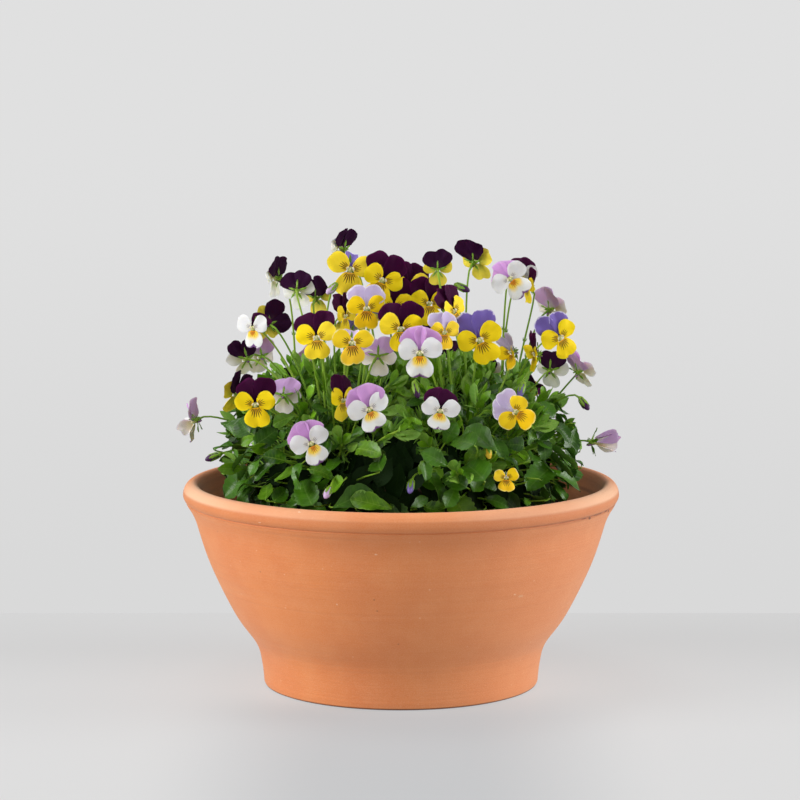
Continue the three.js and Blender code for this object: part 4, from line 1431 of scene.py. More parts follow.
# Each head: variety, throat at x, y, z, then the way it faces: yaw to the right of the front,
# pitch up and roll to the left, in degrees, and its size and how far its petals fold forward;
# last, for a few, how many degrees the upper petals are bent back.
YD, YV, YP, WD, WL = Variety
HEADS = (
    (WD, -44, 4, 320, -120, 14, 0, 0.95, 0),
    (WD, -92, 4, 298, -112, 0, 4, 0.95, 0),
    (WD, -74, -34, 292, 164, -12, -14, 0.84, 0.12),
    (YD, -60, -20, 286, 146, 6, -8, 0.85, 0),
    (WD, -105, -62, 268, -30, 6, 4, 0.92, 0, 48),
    (YD, -96, -30, 268, -150, 0, 58, 0.9, 0),
    (YD, -59, -90, 264, -4, 6, 6, 1, 0),
    (YP, -34, -106, 262, 6, -4, 0, 1, 0, 62),
    (YV, -36, -52, 309, 2, -2, -8, 1.16, 0, 56),
    (YD, -13, -62, 302, 12, 4, -22, 1.05, 0),
    (YP, -24, -84, 284, 0, 0, 0, 0.95, 0),
    (YD, -5, -36, 281, -4, 2, 0, 1, 0),
    (YD, 0, -98, 271, 0, 4, 0, 1.05, 0),
    (WL, 13, -116, 256, -3, -4, 0, 1.08, 0),
    (YD, 6, -16, 293, 0, 4, 0, 1, 0),
    (YD, 37, -84, 282, 58, 14, 14, 0.95, 0),
    (YD, 20, -56, 285, 18, 2, 0, 0.95, 0),
    (YD, 26, -58, 309, 176, -10, 0, 0.74, 0),
    (YD, 54, -20, 312, 142, 10, -12, 0.95, 0),
    (WL, 78, -38, 301, 10, 0, 40, 1, 0, 34),
    (WD, 88, -4, 300, 16, 0, 0, 0.8, 0),
    (YD, 92, -4, 292, -68, 0, 0, 0.75, 0),
    (WL, 111, 12, 275, 128, 12, 0, 0.98, 0),
    (YV, 55, -96, 263, 0, -2, 22, 1.12, 0),
    (YV, 114, -40, 259, 26, -4, 30, 1, 0),
    (YP, 78, -72, 252, -58, -14, 10, 0.85, 0.45),
    (YD, 95, -66, 250, -74, -4, 0, 0.85, 0.2),
    (WD, 109, -17, 233, 158, 0, 0, 0.85, 0.2),
    (WL, 130, -20, 233, 128, 22, 6, 0.95, 0.1),
    (YP, 30, -102, 269, 30, -4, 0, 0.8, 0),
    (WD, 27, -126, 217, 6, -4, -4, 0.9, 0),
    (YD, -118, -62, 221, -118, 16, 0, 0.92, 0),
    (YD, -102, -92, 217, 0, -4, 4, 1, 0),
    (WL, -83, -68, 220, 170, -24, 0, 0.85, 0.3),
    (WL, -62, -124, 194, 4, -6, 28, 0.98, 0),
    (YD, -41, -98, 221, 54, -4, -6, 0.92, 0),
    (WL, -22, -126, 218, 16, -6, 20, 1.02, 0),
    (WL, -16, -78, 249, 176, -22, 0, 0.9, 0.3),
    (WD, -112, -46, 244, -138, -10, 0, 0.85, 0.35),
    (WL, -102, -26, 244, -150, -6, 0, 0.85, 0.2),
    (YP, 80, -106, 214, -14, -16, 58, 0.98, 0.14),
    (YP, 73, -118, 169, 8, 8, 0, 0.64, 0, 62),
    (WL, 143, 0, 178, 94, -6, 0, 1.1, 0.73),
    (WL, -152, 0, 193, -100, -34, 0, 0.95, 0.58, 64),
    (YD, -40, -66, 277, 58, 0, 0, 0.85, 0),
)

# Two heads side by side round the back: variety, turn round the pot, radius, height, pitch
PAIRS = (
    (YD, 150, 118, 203, 8),
    (WL, 121, 112, 223, 12),
    (YV, 92, 119, 204, 4),
    (WD, 61, 112, 221, 10),
    (YD, 31, 118, 202, 6),
    (YV, 112, 66, 260, 26),
    (YD, 62, 66, 255, 30),
)

# Nodding buds: tip at x, y, z, yaw, pitch, and the colour of the tip
BUDS = (
    (60, -108, 188, 20, -50, YP),
    (7, -128, 166, -10, -40, YV),
    (10, -98, 230, 30, -60, WD),
    (42, -56, 297, 60, -20, WD),
    (86, -66, 226, -30, -50, YV),
    (-134, -30, 172, -80, -20, YD),
    (-48, -60, 297, -40, -30, WL),
    (131, -34, 212, 40, -40, WD),
    (-50, -130, 162, -20, -30, WL),
    (30, 112, 176, 170, -40, WL),
)


def pair_rows(variety: Variety, turn: float, ring: float, height: float,
              pitch: float) -> list[tuple[Variety | float, ...]]:
    """The rows of two heads side by side.

    Args:
        variety: Their colouring.
        turn: Where they stand round the pot, in degrees.
        ring: How far from its axis.
        height: How high.
        pitch: How far they look up, in degrees.

    Returns:
        The two rows.
    """
    draw = Draw(int(turn * 7 + height), 1)
    half_step = math.degrees(math.atan(draw(15, 16.5) / ring))
    drop = draw(3, 6) * (1 if turn % 2 else -1)
    rows = []
    for side in (-1, 1):
        place = turn + side * half_step
        x, y, _ = ring * toward(math.radians(place))
        rows.append((variety, x, y, height + side * drop, place + 90 + side * draw(2, 16),
                     pitch + draw(-8, 6), draw(-16, 16), draw(0.88, 1.02), 0))
    return rows


@dataclass
class Bloom:
    """The petals, throat and spur of one flower, or of two side by side."""

    number: int
    heads: list[Head]
    petal_thickness: float = 0.4
    spur_radius: float = 1.15

    def build(self, finishes: dict[Variety, list[bpy.types.Material]]) -> None:
        """Makes the bloom.

        Args:
            finishes: The materials of each variety.
        """
        stock = Stock()
        for k, head in enumerate(self.heads):
            draw = Draw(self.number * 977 + k * 131 + 5, 4)
            shade = draw(0.2, 0.8)
            for petal, turn in zip(PETALS, head.petal_turns()):
                grid, chart = petal.grid(head, turn, draw)
                tint = min(max(shade + draw(-0.2, 0.2), 0), 1)
                stock.blade(grid, chart, self.petal_thickness * head.size, petal.front.value,
                            petal.back.value, tint)
            self.throat(stock, head)
            self.spur(stock, head)
        variety = self.heads[0].variety
        piece = stock.make(f"violet_{self.number:02d}", finishes[variety])
        settle(piece, f"petals_{variety.value}", f"bloom_{self.number:02d}")

    def throat(self, stock: Stock, head: Head) -> None:
        """The funnel that the petals meet in, its knob, and the beard beside it.

        Args:
            stock: Where they go.
            head: The head they are on.
        """
        parts = [
            (((0, 0, -1.5), (0, 0, -0.6), (0, 0.1, 0.3), (0, 0.2, 0.7)),
             (1.0, 1.7, 1.8, 1.1), 10, 0.22),
            (((0, 0.7, 0.2), (0, 0.5, 1.2), (0, 0.2, 1.9), (0, -0.1, 2.2)),
             (0.5, 0.75, 0.7, 0.3), 8, 0.3),
        ]
        for side in (-1, 1):
            for k in range(3):
                foot = np.array([side * (1.1 + 0.3 * k), 1.3 - 0.5 * k, 0.9])
                tip = np.array([side * (1.8 + 0.35 * k), 1.35 - 0.45 * k, 1.8])
                parts.append(((foot, (foot + tip) / 2, tip), (0.45, 0.42, 0.15), 6, 0.9))
        for points, radii, sides, tint in parts:
            stock.tube(head.places(points), head.size * np.array(radii), sides, Skin.EYE.value, tint)

    def spur(self, stock: Stock, head: Head) -> None:
        """The blunt nectar spur that points back between the sepals.

        Args:
            stock: Where it goes.
            head: The head it is on.
        """
        line = spline([(0, -0.8, -0.9), (0, -1.5, -2.8), (0, -2.3, -4.8), (0, -2.4, -6.4)], 3)
        share = np.linspace(0, 1, len(line))
        radii = head.size * self.spur_radius * (1 - 0.25 * share) * np.sqrt(1.02 - share**4)
        stock.tube(head.places(line), radii, 8, Skin.SPUR.value, 0.4)


# Foliage


@dataclass(frozen=True)
class LeafFinish:
    """One skin of a leaf: its greens, its ribs and its gloss."""

    dark: int
    light: int
    rib: int
    rib_share: float = 0.6
    roughness: float = 0.45
    slope: float = 0.32
    ribs: float = 7.0
    glow: float = 0.06
    gloss: float = 0.35

    def make(self, name: str) -> bpy.types.Material:
        """The material of this skin.

        Args:
            name: The name of the material.

        Returns:
            The new material.
        """
        material, wiring, shader = new_finish(name)
        along, across = wiring.chart()
        side = abs(across - 0.5)
        (mottle,) = wiring.effect(SharedEffect.MOTTLE, Scale=120.0, Low=0.3, High=0.72)
        (ribs,) = wiring.effect(SharedEffect.LINES, Value=along - side * self.slope,
                                Count=self.ribs, Width=0.16)
        middle = side.step(0.055 - along * 0.035, 0.008)
        base = wiring.blend(mottle * 0.35 + wiring.tint() * 0.65, colour(self.dark),
                            colour(self.light))
        for share in (ribs * (side.step(0.48, 0.1) * (self.rib_share * 0.6)),
                      middle * self.rib_share,
                      # Painted highlight: a band in the rib colour along the edge of the blade
                      side.step(0.45, 0.5) * (self.rib_share * 0.7)):
            base = base.mixed(self.rib, share)
        fine = wiring.noise(wiring.place(), 1500.0)
        quilted = wiring.bump(1.0 - wiring.maths("MAXIMUM", ribs, middle), 0.0002, 0.35)
        wiring.fill(shader, Base_Color=base, Roughness=fine * 0.2 + (self.roughness - 0.1),
                    Specular_IOR_Level=self.gloss, Subsurface_Weight=self.glow,
                    Subsurface_Radius=(0.001, 0.002, 0.0006), Subsurface_Scale=1.0,
                    Normal=wiring.bump(fine, 0.00015, 0.4, quilted))
        return material


class Green(Enum):
    """The finish numbers on a tuft."""

    BROAD = 0
    BROAD_BACK = 1
    YOUNG = 2
    YOUNG_BACK = 3
    STEM = 4
    DARK_TIP = 5
    VIOLET_TIP = 6
    PALE_TIP = 7
    YELLOW_TIP = 8
    DEEP = 9


GREENS = {
    Green.BROAD: LeafFinish(0x102E03, 0x4A7C12, 0x7EA24A, 0.2, 0.32, glow=0.03, gloss=0.3),
    Green.BROAD_BACK: LeafFinish(0x44701F, 0x6D9438, 0x93B060, 0.35, 0.55, glow=0.03),
    Green.YOUNG: LeafFinish(0x1D4404, 0x7AAE1E, 0xA0C24A, 0.25, 0.32, gloss=0.3),
    Green.YOUNG_BACK: LeafFinish(0x52842A, 0x84AC3C, 0xAAC660, 0.35, 0.55),
    Green.STEM: LeafFinish(0x5C8A14, 0x9ABA3A, 0xBDD26C, 0.15, ribs=1.0),
    Green.DARK_TIP: LeafFinish(0x2E0A38, 0x4B1252, 0x1E0424, 0.3),
    Green.VIOLET_TIP: LeafFinish(0x5A4690, 0x8A78BE, 0x45326F, 0.3),
    Green.PALE_TIP: LeafFinish(0xB07FBC, 0xE6D6EA, 0x8A5C9C, 0.3),
    Green.YELLOW_TIP: LeafFinish(0xE0B414, 0xF3D544, 0x5A2A40, 0.3),
    # Near-black green of the inner leaves, painted shade inside the foliage
    Green.DEEP: LeafFinish(0x0B1C04, 0x17300A, 0x24400F, 0.2, 0.6, glow=0.0, gloss=0.1),
}
BUD_TIPS = {YD: Green.DARK_TIP, YV: Green.VIOLET_TIP, YP: Green.YELLOW_TIP, WD: Green.DARK_TIP,
            WL: Green.PALE_TIP}

# The upper face and the underside of old leaves, of young ones, of the inner leaves painted near-black
# as shade, and of sepals
OLD = (Green.BROAD, Green.BROAD_BACK)
YOUNG = (Green.YOUNG, Green.YOUNG_BACK)
SHADED = (Green.DEEP, Green.DEEP)
SEPAL = (Green.STEM, Green.STEM)


class LeafShape(Enum):
    """Half outlines of the kinds of leaves, and how many scallops each side has."""

    ROUND = (((0, 0.05), (0.03, 0.4), (0.12, 0.8), (0.3, 1.0), (0.54, 0.98), (0.77, 0.78),
              (0.92, 0.46), (1.0, 0.05)), 6)
    OVAL = (((0, 0.07), (0.1, 0.2), (0.24, 0.48), (0.42, 0.84), (0.6, 1.0), (0.77, 0.92),
             (0.9, 0.62), (0.97, 0.32), (1.0, 0.04)), 3)
    LANCE = (((0, 0.12), (0.2, 0.4), (0.45, 0.86), (0.63, 1.0), (0.8, 0.82), (0.93, 0.42),
              (1.0, 0.04)), 3)
    STRAP = (((0, 0.4), (0.3, 0.85), (0.6, 1.0), (0.85, 0.6), (1.0, 0.08)), 0)


# How many points run along and across a blade of each shape
BLADE_GRIDS = {LeafShape.ROUND: (25, 5), LeafShape.OVAL: (13, 5), LeafShape.LANCE: (9, 3),
               LeafShape.STRAP: (5, 3)}

# How many points the middle lines of a shoot and of a stalk have, and where a stalk's bracts are
SHOOT_POINTS = 40
STALK_POINTS = 24
BRACT_POINT = 17

# The radius of a stalk at shares of its length
STALK_SHARES = (0, 0.6, 0.95, 1)
STALK_RADII = (1.05, 0.82, 0.64, 0.95)

# Round parts, ring by ring: height over the soil or depth before the throat, and radius
CROWN = ((-14, 4), (-8, 6.5), (-2, 6.8), (3, 7), (8, 5.5), (12, 2.5))
CALYX = ((-4.6, 1.0), (-3.8, 1.7), (-2.6, 1.9), (-1.6, 1.0))
BUD = ((-3.6, 0.9), (-2.4, 1.7), (-0.6, 2.3), (1.4, 2.7), (3.6, 2.6), (5.8, 2.1), (7.4, 1.3),
       (8.2, 0.4))
BUD_CALYX = ((-5.0, 0.9), (-4.0, 1.7), (-2.8, 2.0), (-1.8, 1.6))

# The leaves within the foliage coloured near-black as painted shade: how many, and how far from the
# axis the lower ones are
INNER_COUNT = 420
INNER_RADIUS = 104

# Dark hollows in the front of the foliage: across, height and the half sizes of each, and how
# far back they go
HOLLOWS = ((2, 178, 15, 25), (-30, 172, 10, 15), (54, 155, 15, 8), (24, 196, 9, 9), (-72, 184, 7, 9))
HOLLOW_BACK = -30

# Height and radius of each tier of the round leaves at the foot, and the places in a tier
SKIRT = ((142, 113), (153, 123), (165, 127), (178, 127), (192, 123), (206, 116))
SKIRT_COUNT = 46


@dataclass(frozen=True)
class Leaf:
    """One leaf: where its stalk starts, the way it points and faces, its shape and sizes."""

    base: Array
    way: Array
    face: Array
    stalk: float
    length: float
    width: float
    droop: float
    shape: LeafShape = LeafShape.OVAL
    fold: float = 0.12
    wave: float = 0.5
    bend: float = 0.0
    phase: float = 0.0
    root: Array | None = None
    thickness: float = 0.45
    bay_depth: float = 0.13
    shortening: float = 0.06

    def grid(self, rows: int, columns: int) -> tuple[Array, Array]:
        """The blade of the leaf.

        Args:
            rows: Points from its base to its tip.
            columns: Points across it.

        Returns:
            The grid of its points, and along and across for each.
        """
        outline, scallops = self.shape.value
        line = spline(outline, 8)
        run = np.linspace(0, 1, rows)[:, None]
        half = np.interp(run, line[:, 0], line[:, 1]) * self.width / 2
        if scallops:
            bay = 1 - np.abs(np.sin(math.pi * scallops * run)) ** 0.7
            half *= 1 - self.bay_depth * bay * ease(0.04, 0.16, run) * ease(1.0, 0.9, run)
        half = np.maximum(half, 0.12)
        sway = np.linspace(-1, 1, columns)
        across = half * sway + self.bend * run**2
        raised = self.fold * half * np.abs(sway) ** 1.4 - self.droop * run**2
        raised = raised + self.wave * sway**2 * np.sin(7 * run + self.phase + 2 * sway)
        shorter = 1 - self.shortening * (self.droop / self.length) * run
        along = self.stalk + self.length * run * shorter
        grid = (self.base + self.way * along[..., None]
                + np.cross(self.face, self.way) * across[..., None] + self.face * raised[..., None])
        return grid, np.stack(np.broadcast_arrays(run, sway / 2 + 0.5), axis=2)

    def grow(self, stock: Stock, tint: float, sides: tuple[Green, Green]) -> None:
        """Adds the blade and its stalk.

        Args:
            stock: Where they go.
            tint: The colour shift of the leaf.
            sides: The finishes of its upper face and its underside.
        """
        front, back = sides
        grid, chart = self.grid(*BLADE_GRIDS[self.shape])
        stock.blade(grid, chart, self.thickness, front.value, back.value, tint)
        joint = grid[0].mean(axis=0)
        inner = joint + self.way * self.length * 0.12
        if self.root is not None:
            lifted = self.root + vector(0, 0, 12 + 0.5 * max(joint[2] - self.root[2], 0))
            path = bezier([self.root, lifted, joint - self.way * 12, inner], 8)
            stock.tube(path, np.linspace(0.9, 0.45, 8), 5, Green.STEM.value, tint)
        elif self.stalk > 1:
            sag = self.face * -0.12 * self.stalk
            path = bezier([self.base, (self.base + joint) / 2 + sag, joint, inner], 5)
            stock.tube(path, np.linspace(0.75, 0.4, 5), 5, Green.STEM.value, tint)


@dataclass
class Ground:
    """The crowns of the six tufts, and the ground that is nearest to each."""

    ring: float = 75
    turns: tuple[float, ...] = (-126, -54, 17, 90, 163)
    crowns: list[Array] = field(init=False)

    def __post_init__(self) -> None:
        """Places the crowns: one in the middle and five round it."""
        angles = [math.radians(turn) for turn in self.turns]
        around = [vector(self.ring * math.cos(a), self.ring * math.sin(a), 0) for a in angles]
        self.crowns = [vector(0, 0, 0), *around]

    def nearest(self, point: Array) -> int:
        """The number of the crown nearest to a point."""
        gaps = [math.hypot(point[0] - crown[0], point[1] - crown[1]) for crown in self.crowns]
        return gaps.index(min(gaps))

    def pulled_inside(self, point: Array, plant: int, margin: float) -> Array:
        """A point moved back onto a plant's own ground.

        Args:
            point: The point.
            plant: The number of the plant.
            margin: How far inside the border it has to be.

        Returns:
            The moved point.
        """
        pulled = np.array(point, float)
        own = self.crowns[plant]
        for other, crown in enumerate(self.crowns):
            if other == plant:
                continue
            apart = (crown - own)[:2]
            length = float(np.linalg.norm(apart))
            over = float((pulled[:2] - (crown + own)[:2] / 2).dot(apart)) / length + margin
            if over > 0:
                pulled[:2] -= apart / length * over
        return pulled


@dataclass
class Flowers:
    """All the heads and buds, and the room that they need around them."""

    heads: list[Head]
    buds: list[Head]
    petal_reach: float = 19.5
    petals_behind: float = 6.5
    calyx_reach: float = 6
    calyx_behind: float = 11
    open_depth: float = 3.2
    folded_depth: float = 4
    fold_depth: float = 14
    clear_view: float = 44

    def __post_init__(self) -> None:
        """Gathers the heads' places for quick tests."""
        self.throats = np.array([head.throat for head in self.heads])
        self.facings = np.array([head.facing for head in self.heads])
        self.sizes = np.array([head.size for head in self.heads])
        folds = np.array([head.fold for head in self.heads])
        self.depths = np.where(folds > 0, self.folded_depth + self.fold_depth * folds,
                               self.open_depth)

    def measured(self, points: Array) -> tuple[Array, Array]:
        """Where points are beside the heads, by each head's size.

        Args:
            points: The points, one row each.

        Returns:
            How far each point is in front of each throat, and how far off its axis.
        """
        offset = points.reshape(-1, 1, 3) - self.throats
        depth = (offset * self.facings).sum(axis=2) / self.sizes
        square = (offset**2).sum(axis=2) / self.sizes**2 - depth**2
        return depth, np.sqrt(np.maximum(square, 0))

    def meets(self, points: Array, spare: float) -> Array:
        """Which points are too near to which head's petals or calyx.

        Args:
            points: The points, one row each.
            spare: How much room there has to be between them.

        Returns:
            True for each point and head that are too near.
        """
        depth, reach = self.measured(points)
        petals = ((depth > -self.petals_behind - spare) & (depth < self.depths + spare)
                  & (reach < self.petal_reach + spare))
        calyx = (depth > -self.calyx_behind - spare) & (depth < 0) & (reach < self.calyx_reach + spare)
        return petals | calyx

    def veils(self, points: Array) -> bool:
        """Whether any point stands close before the face of a head."""
        depth, reach = self.measured(points)
        return bool(((depth > 0) & (depth < self.clear_view) & (reach < 15 + 0.05 * depth)).any())


@dataclass
class Stalks:
    """The leafless stalks of the flowers: up from the crown, over in a hook and into the calyx."""

    ground: Ground
    flowers: Flowers
    calyx_depth: float = 3.7
    hook: float = 12
    heart_height: float = 154
    root_height: float = 122
    head_gap: float = 1.2
    bends: tuple[float, ...] = (0, 8, -8, 16, -16, 24, -24, 34, -34)

    def plant_of(self, head: Head) -> int:
        """The plant that a head grows on."""
        return self.ground.nearest(head.throat - head.facing * (self.calyx_depth + self.hook))

    def controls(self, head: Head, plant: int, bend: float) -> list[Array]:
        """The control points of a stalk.

        Args:
            head: The head that it carries.
            plant: The number of its plant.
            bend: How far it bends sideways.

        Returns:
            The four control points.
        """
        crown = self.ground.crowns[plant]
        end = head.throat - head.facing * self.calyx_depth * head.size
        outward = vector(end[0] - crown[0], end[1] - crown[1], 0)
        distance = float(np.linalg.norm(outward))
        start = crown + UP * (self.heart_height + 4)
        start = start + outward * min(0.3, 14 / max(distance, 1))
        side = unit(vector(-outward[1], outward[0], 0))
        rise = end - head.facing * self.hook + UP * 3 + side * bend * 0.5
        lift = start + UP * max(0.55 * (end[2] - start[2]), 6) + side * bend
        pull = self.ground.pulled_inside
        return [start, pull(lift, plant, 2), pull(rise, plant, 2), end]

    def line(self, head: Head, plant: int) -> Array:
        """The line of a stalk that passes the fewest other heads.

        Args:
            head: The head that it carries.
            plant: The number of its plant.

        Returns:
            Its points, from the soil to the calyx.
        """
        others = np.linalg.norm(self.flowers.throats - head.throat, axis=1) > 1
        best, least = None, None
        for bend in self.bends:
            controls = self.controls(head, plant, bend)
            met = int(self.flowers.meets(bezier(controls, 15), self.head_gap)[:, others].sum())
            if least is None or met < least:
                best, least = controls, met
        crown = self.ground.crowns[plant]
        foot = crown + UP * self.root_height + (best[0] - crown) * (0.35, 0.35, 0)
        root = bezier([foot, foot + UP * 18, best[0]], 5)[:-1]
        return np.vstack([root, bezier(best, 17)])


@dataclass(frozen=True)
class Joint:
    """Where leaves leave a shoot: the place, the way the shoot runs, a turn round it, and draws."""

    base: Array
    along: Array
    turn: float
    draw: Draw

    def round(self, extra: float) -> Array:
        """The direction square to the shoot at the joint's turn and so many radians more."""
        across = unit(np.cross(self.along, vector(0.2, 0.1, 1)))
        return swing(across, np.cross(across, self.along), self.turn + extra)


@dataclass
class Tuft:
    """One plant: crown, leafy shoots, flower stalks with their calyces, and nodding buds."""

    number: int
    ground: Ground
    flowers: Flowers
    stalks: Stalks
    pot: BowlPot
    soil: PottingSoil
    shoots: list[tuple[Array, int]]
    stock: Stock = field(default_factory=Stock)
    centres: list[Array] = field(default_factory=list)
    reach: float = 162
    wall_gap: float = 2.5
    soil_gap: float = 1.5
    head_gap: float = 0.8
    leaf_gap: float = 6.2
    low_leaf_gap: float = 9.5
    leaf_step: float = 8.5
    first_leaf: float = 0.24
    first_stipules: float = 0.36
    bare_heart: tuple[float, float] = (64, 92)
    plain_heart: tuple[float, float] = (42, 104)
    turns_tried: tuple[float, ...] = (0, 0.5, -0.5, 1, -1, 1.6, -1.6, 2.3, -2.3)

    @property
    def crown(self) -> Array:
        """Where the plant stands."""
        return self.ground.crowns[self.number - 1]

    @property
    def surface(self) -> float:
        """The height of the soil there."""
        return self.soil.height(math.hypot(*self.crown[:2]))

    def build(self, finishes: Sequence[bpy.types.Material]) -> None:
        """Grows the tuft.

        Args:
            finishes: The greens, in the order of their numbers.
        """
        self.grow_crown()
        for heads, grow_end in ((self.flowers.heads, self.grow_calyx),
                                (self.flowers.buds, self.grow_bud)):
            for head in heads:
                if self.stalks.plant_of(head) == self.number - 1:
                    self.grow_stalk(head)
                    grow_end(head)
        self.grow_low_leaves()
        for path, seed in self.shoots:
            self.grow_shoot(path, seed)
        self.grow_inner_leaves()
        piece = self.stock.make(f"tuft_{self.number}", finishes)
        settle(piece, "leaf_green", f"plant_{self.number}")

    def stem(self, path: Array, radii: Array, sides: int, tint: float,
             finish: Green = Green.STEM) -> None:
        """Adds a stem along a line."""
        self.stock.tube(path, radii, sides, finish.value, tint)

    def rings(self, head: Head, section: Sequence[tuple[float, float]], sides: int, tint: float,
              finish: Green = Green.STEM) -> None:
        """Adds a round part along the axis of a head, from the depth and radius of each ring."""
        depths, radii = np.transpose(section)
        self.stem(head.axis(*depths), head.size * radii, sides, tint, finish)

    def clear(self, leaf: Leaf, rows: int, spare: float) -> bool:
        """Whether a leaf keeps a spare distance from every head."""
        points = leaf.grid(rows, 3)[0].reshape(-1, 3)
        return not self.flowers.meets(points, spare).any()

    def grow_crown(self) -> None:
        """The woody crown in the soil that the shoots come from."""
        heights, radii = np.transpose(CROWN)
        self.stem(self.crown + np.outer(self.surface + heights, UP), radii, 12, 0.1)

    def grow_stalk(self, head: Head) -> None:
        """The stalk of one flower or bud, with two small bracts below its hook.

        Args:
            head: The flower or bud.
        """
        path = evenly(self.stalks.line(head, self.number - 1), STALK_POINTS)
        radii = np.interp(np.linspace(0, 1, STALK_POINTS), STALK_SHARES, STALK_RADII)
        self.stem(path, radii, 6, 0.5 + 0.4 * math.sin(head.throat[0]))
        foot = path[BRACT_POINT]
        along = unit(path[BRACT_POINT + 1] - foot)
        side = unit(np.cross(along, vector(0.3, 1, 0.2)))
        for out in (side, -side):
            bract = Leaf(foot, unit(along + out * 0.5), out, 0, 4.5, 0.9, 0.6, LeafShape.STRAP)
            bract.grow(self.stock, 0.6, YOUNG)

    def grow_calyx(self, head: Head) -> None:
        """Five narrow sepals behind the petals, each with a short flap at its foot.

        Args:
            head: The flower.
        """
        size, fold = head.size, head.fold
        self.rings(head, CALYX, 8, 0.6)
        for k, out in enumerate(head.fifths()):
            foot = head.axis(-3.3)[0] + out * 1.2 * size
            way = unit(out + head.facing * (-0.12 + 0.5 * fold))
            length = (7.0 + 4.0 * fold + 1.0 * math.sin(7 * k + head.throat[0])) * size
            sepal = Leaf(foot, way, square_to(head.facing, way), 0, length,
                         (1.7 + 1.2 * fold) * size, -0.9 * size, LeafShape.STRAP, 0.2)
            sepal.grow(self.stock, 0.2, SEPAL)
            flap = Leaf(foot, unit(out * 0.5 - head.facing), out, 0, 3.0 * size, 1.8 * size, 0.3,
                        LeafShape.STRAP)
            flap.grow(self.stock, 0.3, SEPAL)

    def grow_bud(self, bud: Head) -> None:
        """A closed bud: rolled petals between five sepals.

        Args:
            bud: The bud.
        """
        self.rings(bud, BUD, 10, 0.5, BUD_TIPS[bud.variety])
        for out in bud.fifths():
            foot = bud.axis(-3.4)[0] + out * 1.1
            way = unit(bud.facing + out * 0.16)
            sepal = Leaf(foot + out * 1.1, way, square_to(out, way), 0, 8.8, 2.6, 0.8,
                         LeafShape.STRAP, -0.35, 0.1)
            sepal.grow(self.stock, 0.2, SEPAL)
        self.rings(bud, BUD_CALYX, 8, 0.6)

    def fits(self, leaf: Leaf, room: float) -> bool:
        """Whether a leaf has its place to itself.

        Args:
            leaf: The leaf.
            room: How far its middle has to be from that of every other leaf.

        Returns:
            True where it is off the pot, the soil, the other leaves and every head.
        """
        points = leaf.grid(6, 3)[0].reshape(-1, 3)
        radius = np.hypot(points[:, 0], points[:, 1])
        height = points[:, 2]
        inside = radius < self.pot.inner_radius(height) - self.wall_gap
        off_pot = inside | (height > self.pot.height + 2)
        off_soil = height > self.soil.height(radius) + self.soil_gap
        if not (off_pot & off_soil & (radius < self.reach)).all():
            return False
        middle = points.mean(axis=0)
        if self.centres and np.linalg.norm(np.array(self.centres) - middle, axis=1).min() < room:
            return False
        for across, up, wide, high in HOLLOWS:
            off = ((middle[0] - across) / wide) ** 2 + ((middle[2] - up) / high) ** 2
            if middle[1] < HOLLOW_BACK and off < 1:
                return False
        if self.flowers.meets(points, self.head_gap).any() or self.flowers.veils(points):
            return False
        self.centres.append(middle)
        return True

    @staticmethod
    def within(place: Array, tip: Array, heart: tuple[float, float]) -> bool:
        """Whether a place is further below a tip, and nearer to the axis, than a heart's numbers."""
        return tip[2] - place[2] > heart[0] and math.hypot(place[0], place[1]) < heart[1]

    def grow_shoot(self, path: Array, seed: int) -> None:
        """One shoot with its leaves, stipules and a young tip.

        Args:
            path: Its middle line, from the soil up.
            seed: The start of its draws.
        """
        draw = Draw(seed * 31 + 11, 3)
        line = evenly(path, SHOOT_POINTS)
        last = SHOOT_POINTS - 1
        length = float(np.linalg.norm(np.diff(line, axis=0), axis=1).sum())
        core = line[::3]
        self.stem(core, np.linspace(1.8, 1.0, len(core)), 7, draw(0.1, 0.6))
        for k, station in enumerate(np.arange(self.first_leaf, 1.0, self.leaf_step / length)):
            number = int(station * last)
            base = line[number]
            if self.within(base, line[last], self.bare_heart):
                continue
            along = unit(line[min(number + 1, last)] - line[number - 1])
            joint = Joint(base, along, seed * 1.9 + k * GOLDEN_TURN, draw)
            self.grow_leaf(joint)
            plain = self.within(base, line[last], self.plain_heart)
            if station > self.first_stipules and not plain:
                self.grow_stipules(joint)
        self.grow_tip(Joint(line[last], unit(line[last] - line[last - 2]), 0, draw))

    def grow_leaf(self, joint: Joint) -> None:
        """A leaf on a shoot, turned until it has room, or none.

        Args:
            joint: Where it leaves the shoot.
        """
        base, draw = joint.base, joint.draw
        outward = unit(vector(base[0], base[1], 55 + 0.3 * (base[2] - 150)))
        low = min(max((205 - base[2]) / 55, 0), 1)
        length = (17 + 5 * low) * draw(0.7, 1.2)
        width = length * (0.5 + 0.2 * low) * draw(0.82, 1.12)
        droop, bend, phase, wave = draw(0, 5) + 2 * low, draw(-3, 3), draw(0, 6.3), draw(0.4, 1.2)
        shape = LeafShape.ROUND if low > 0.8 else LeafShape.OVAL
        for extra in self.turns_tried:
            way = unit(joint.round(extra) + joint.along * 0.5 + outward * 0.12)
            leaf = Leaf(base, way, square_to(outward, way), 5 + 6 * low, length, width, droop,
                        shape, draw(0.14, 0.5), wave, bend, phase)
            if self.fits(leaf, self.leaf_gap):
                young = draw(0, 1) > 0.76 - 0.42 * ease(195, 232, base[2])
                leaf.grow(self.stock, draw(0, 1), YOUNG if young else OLD)
                return

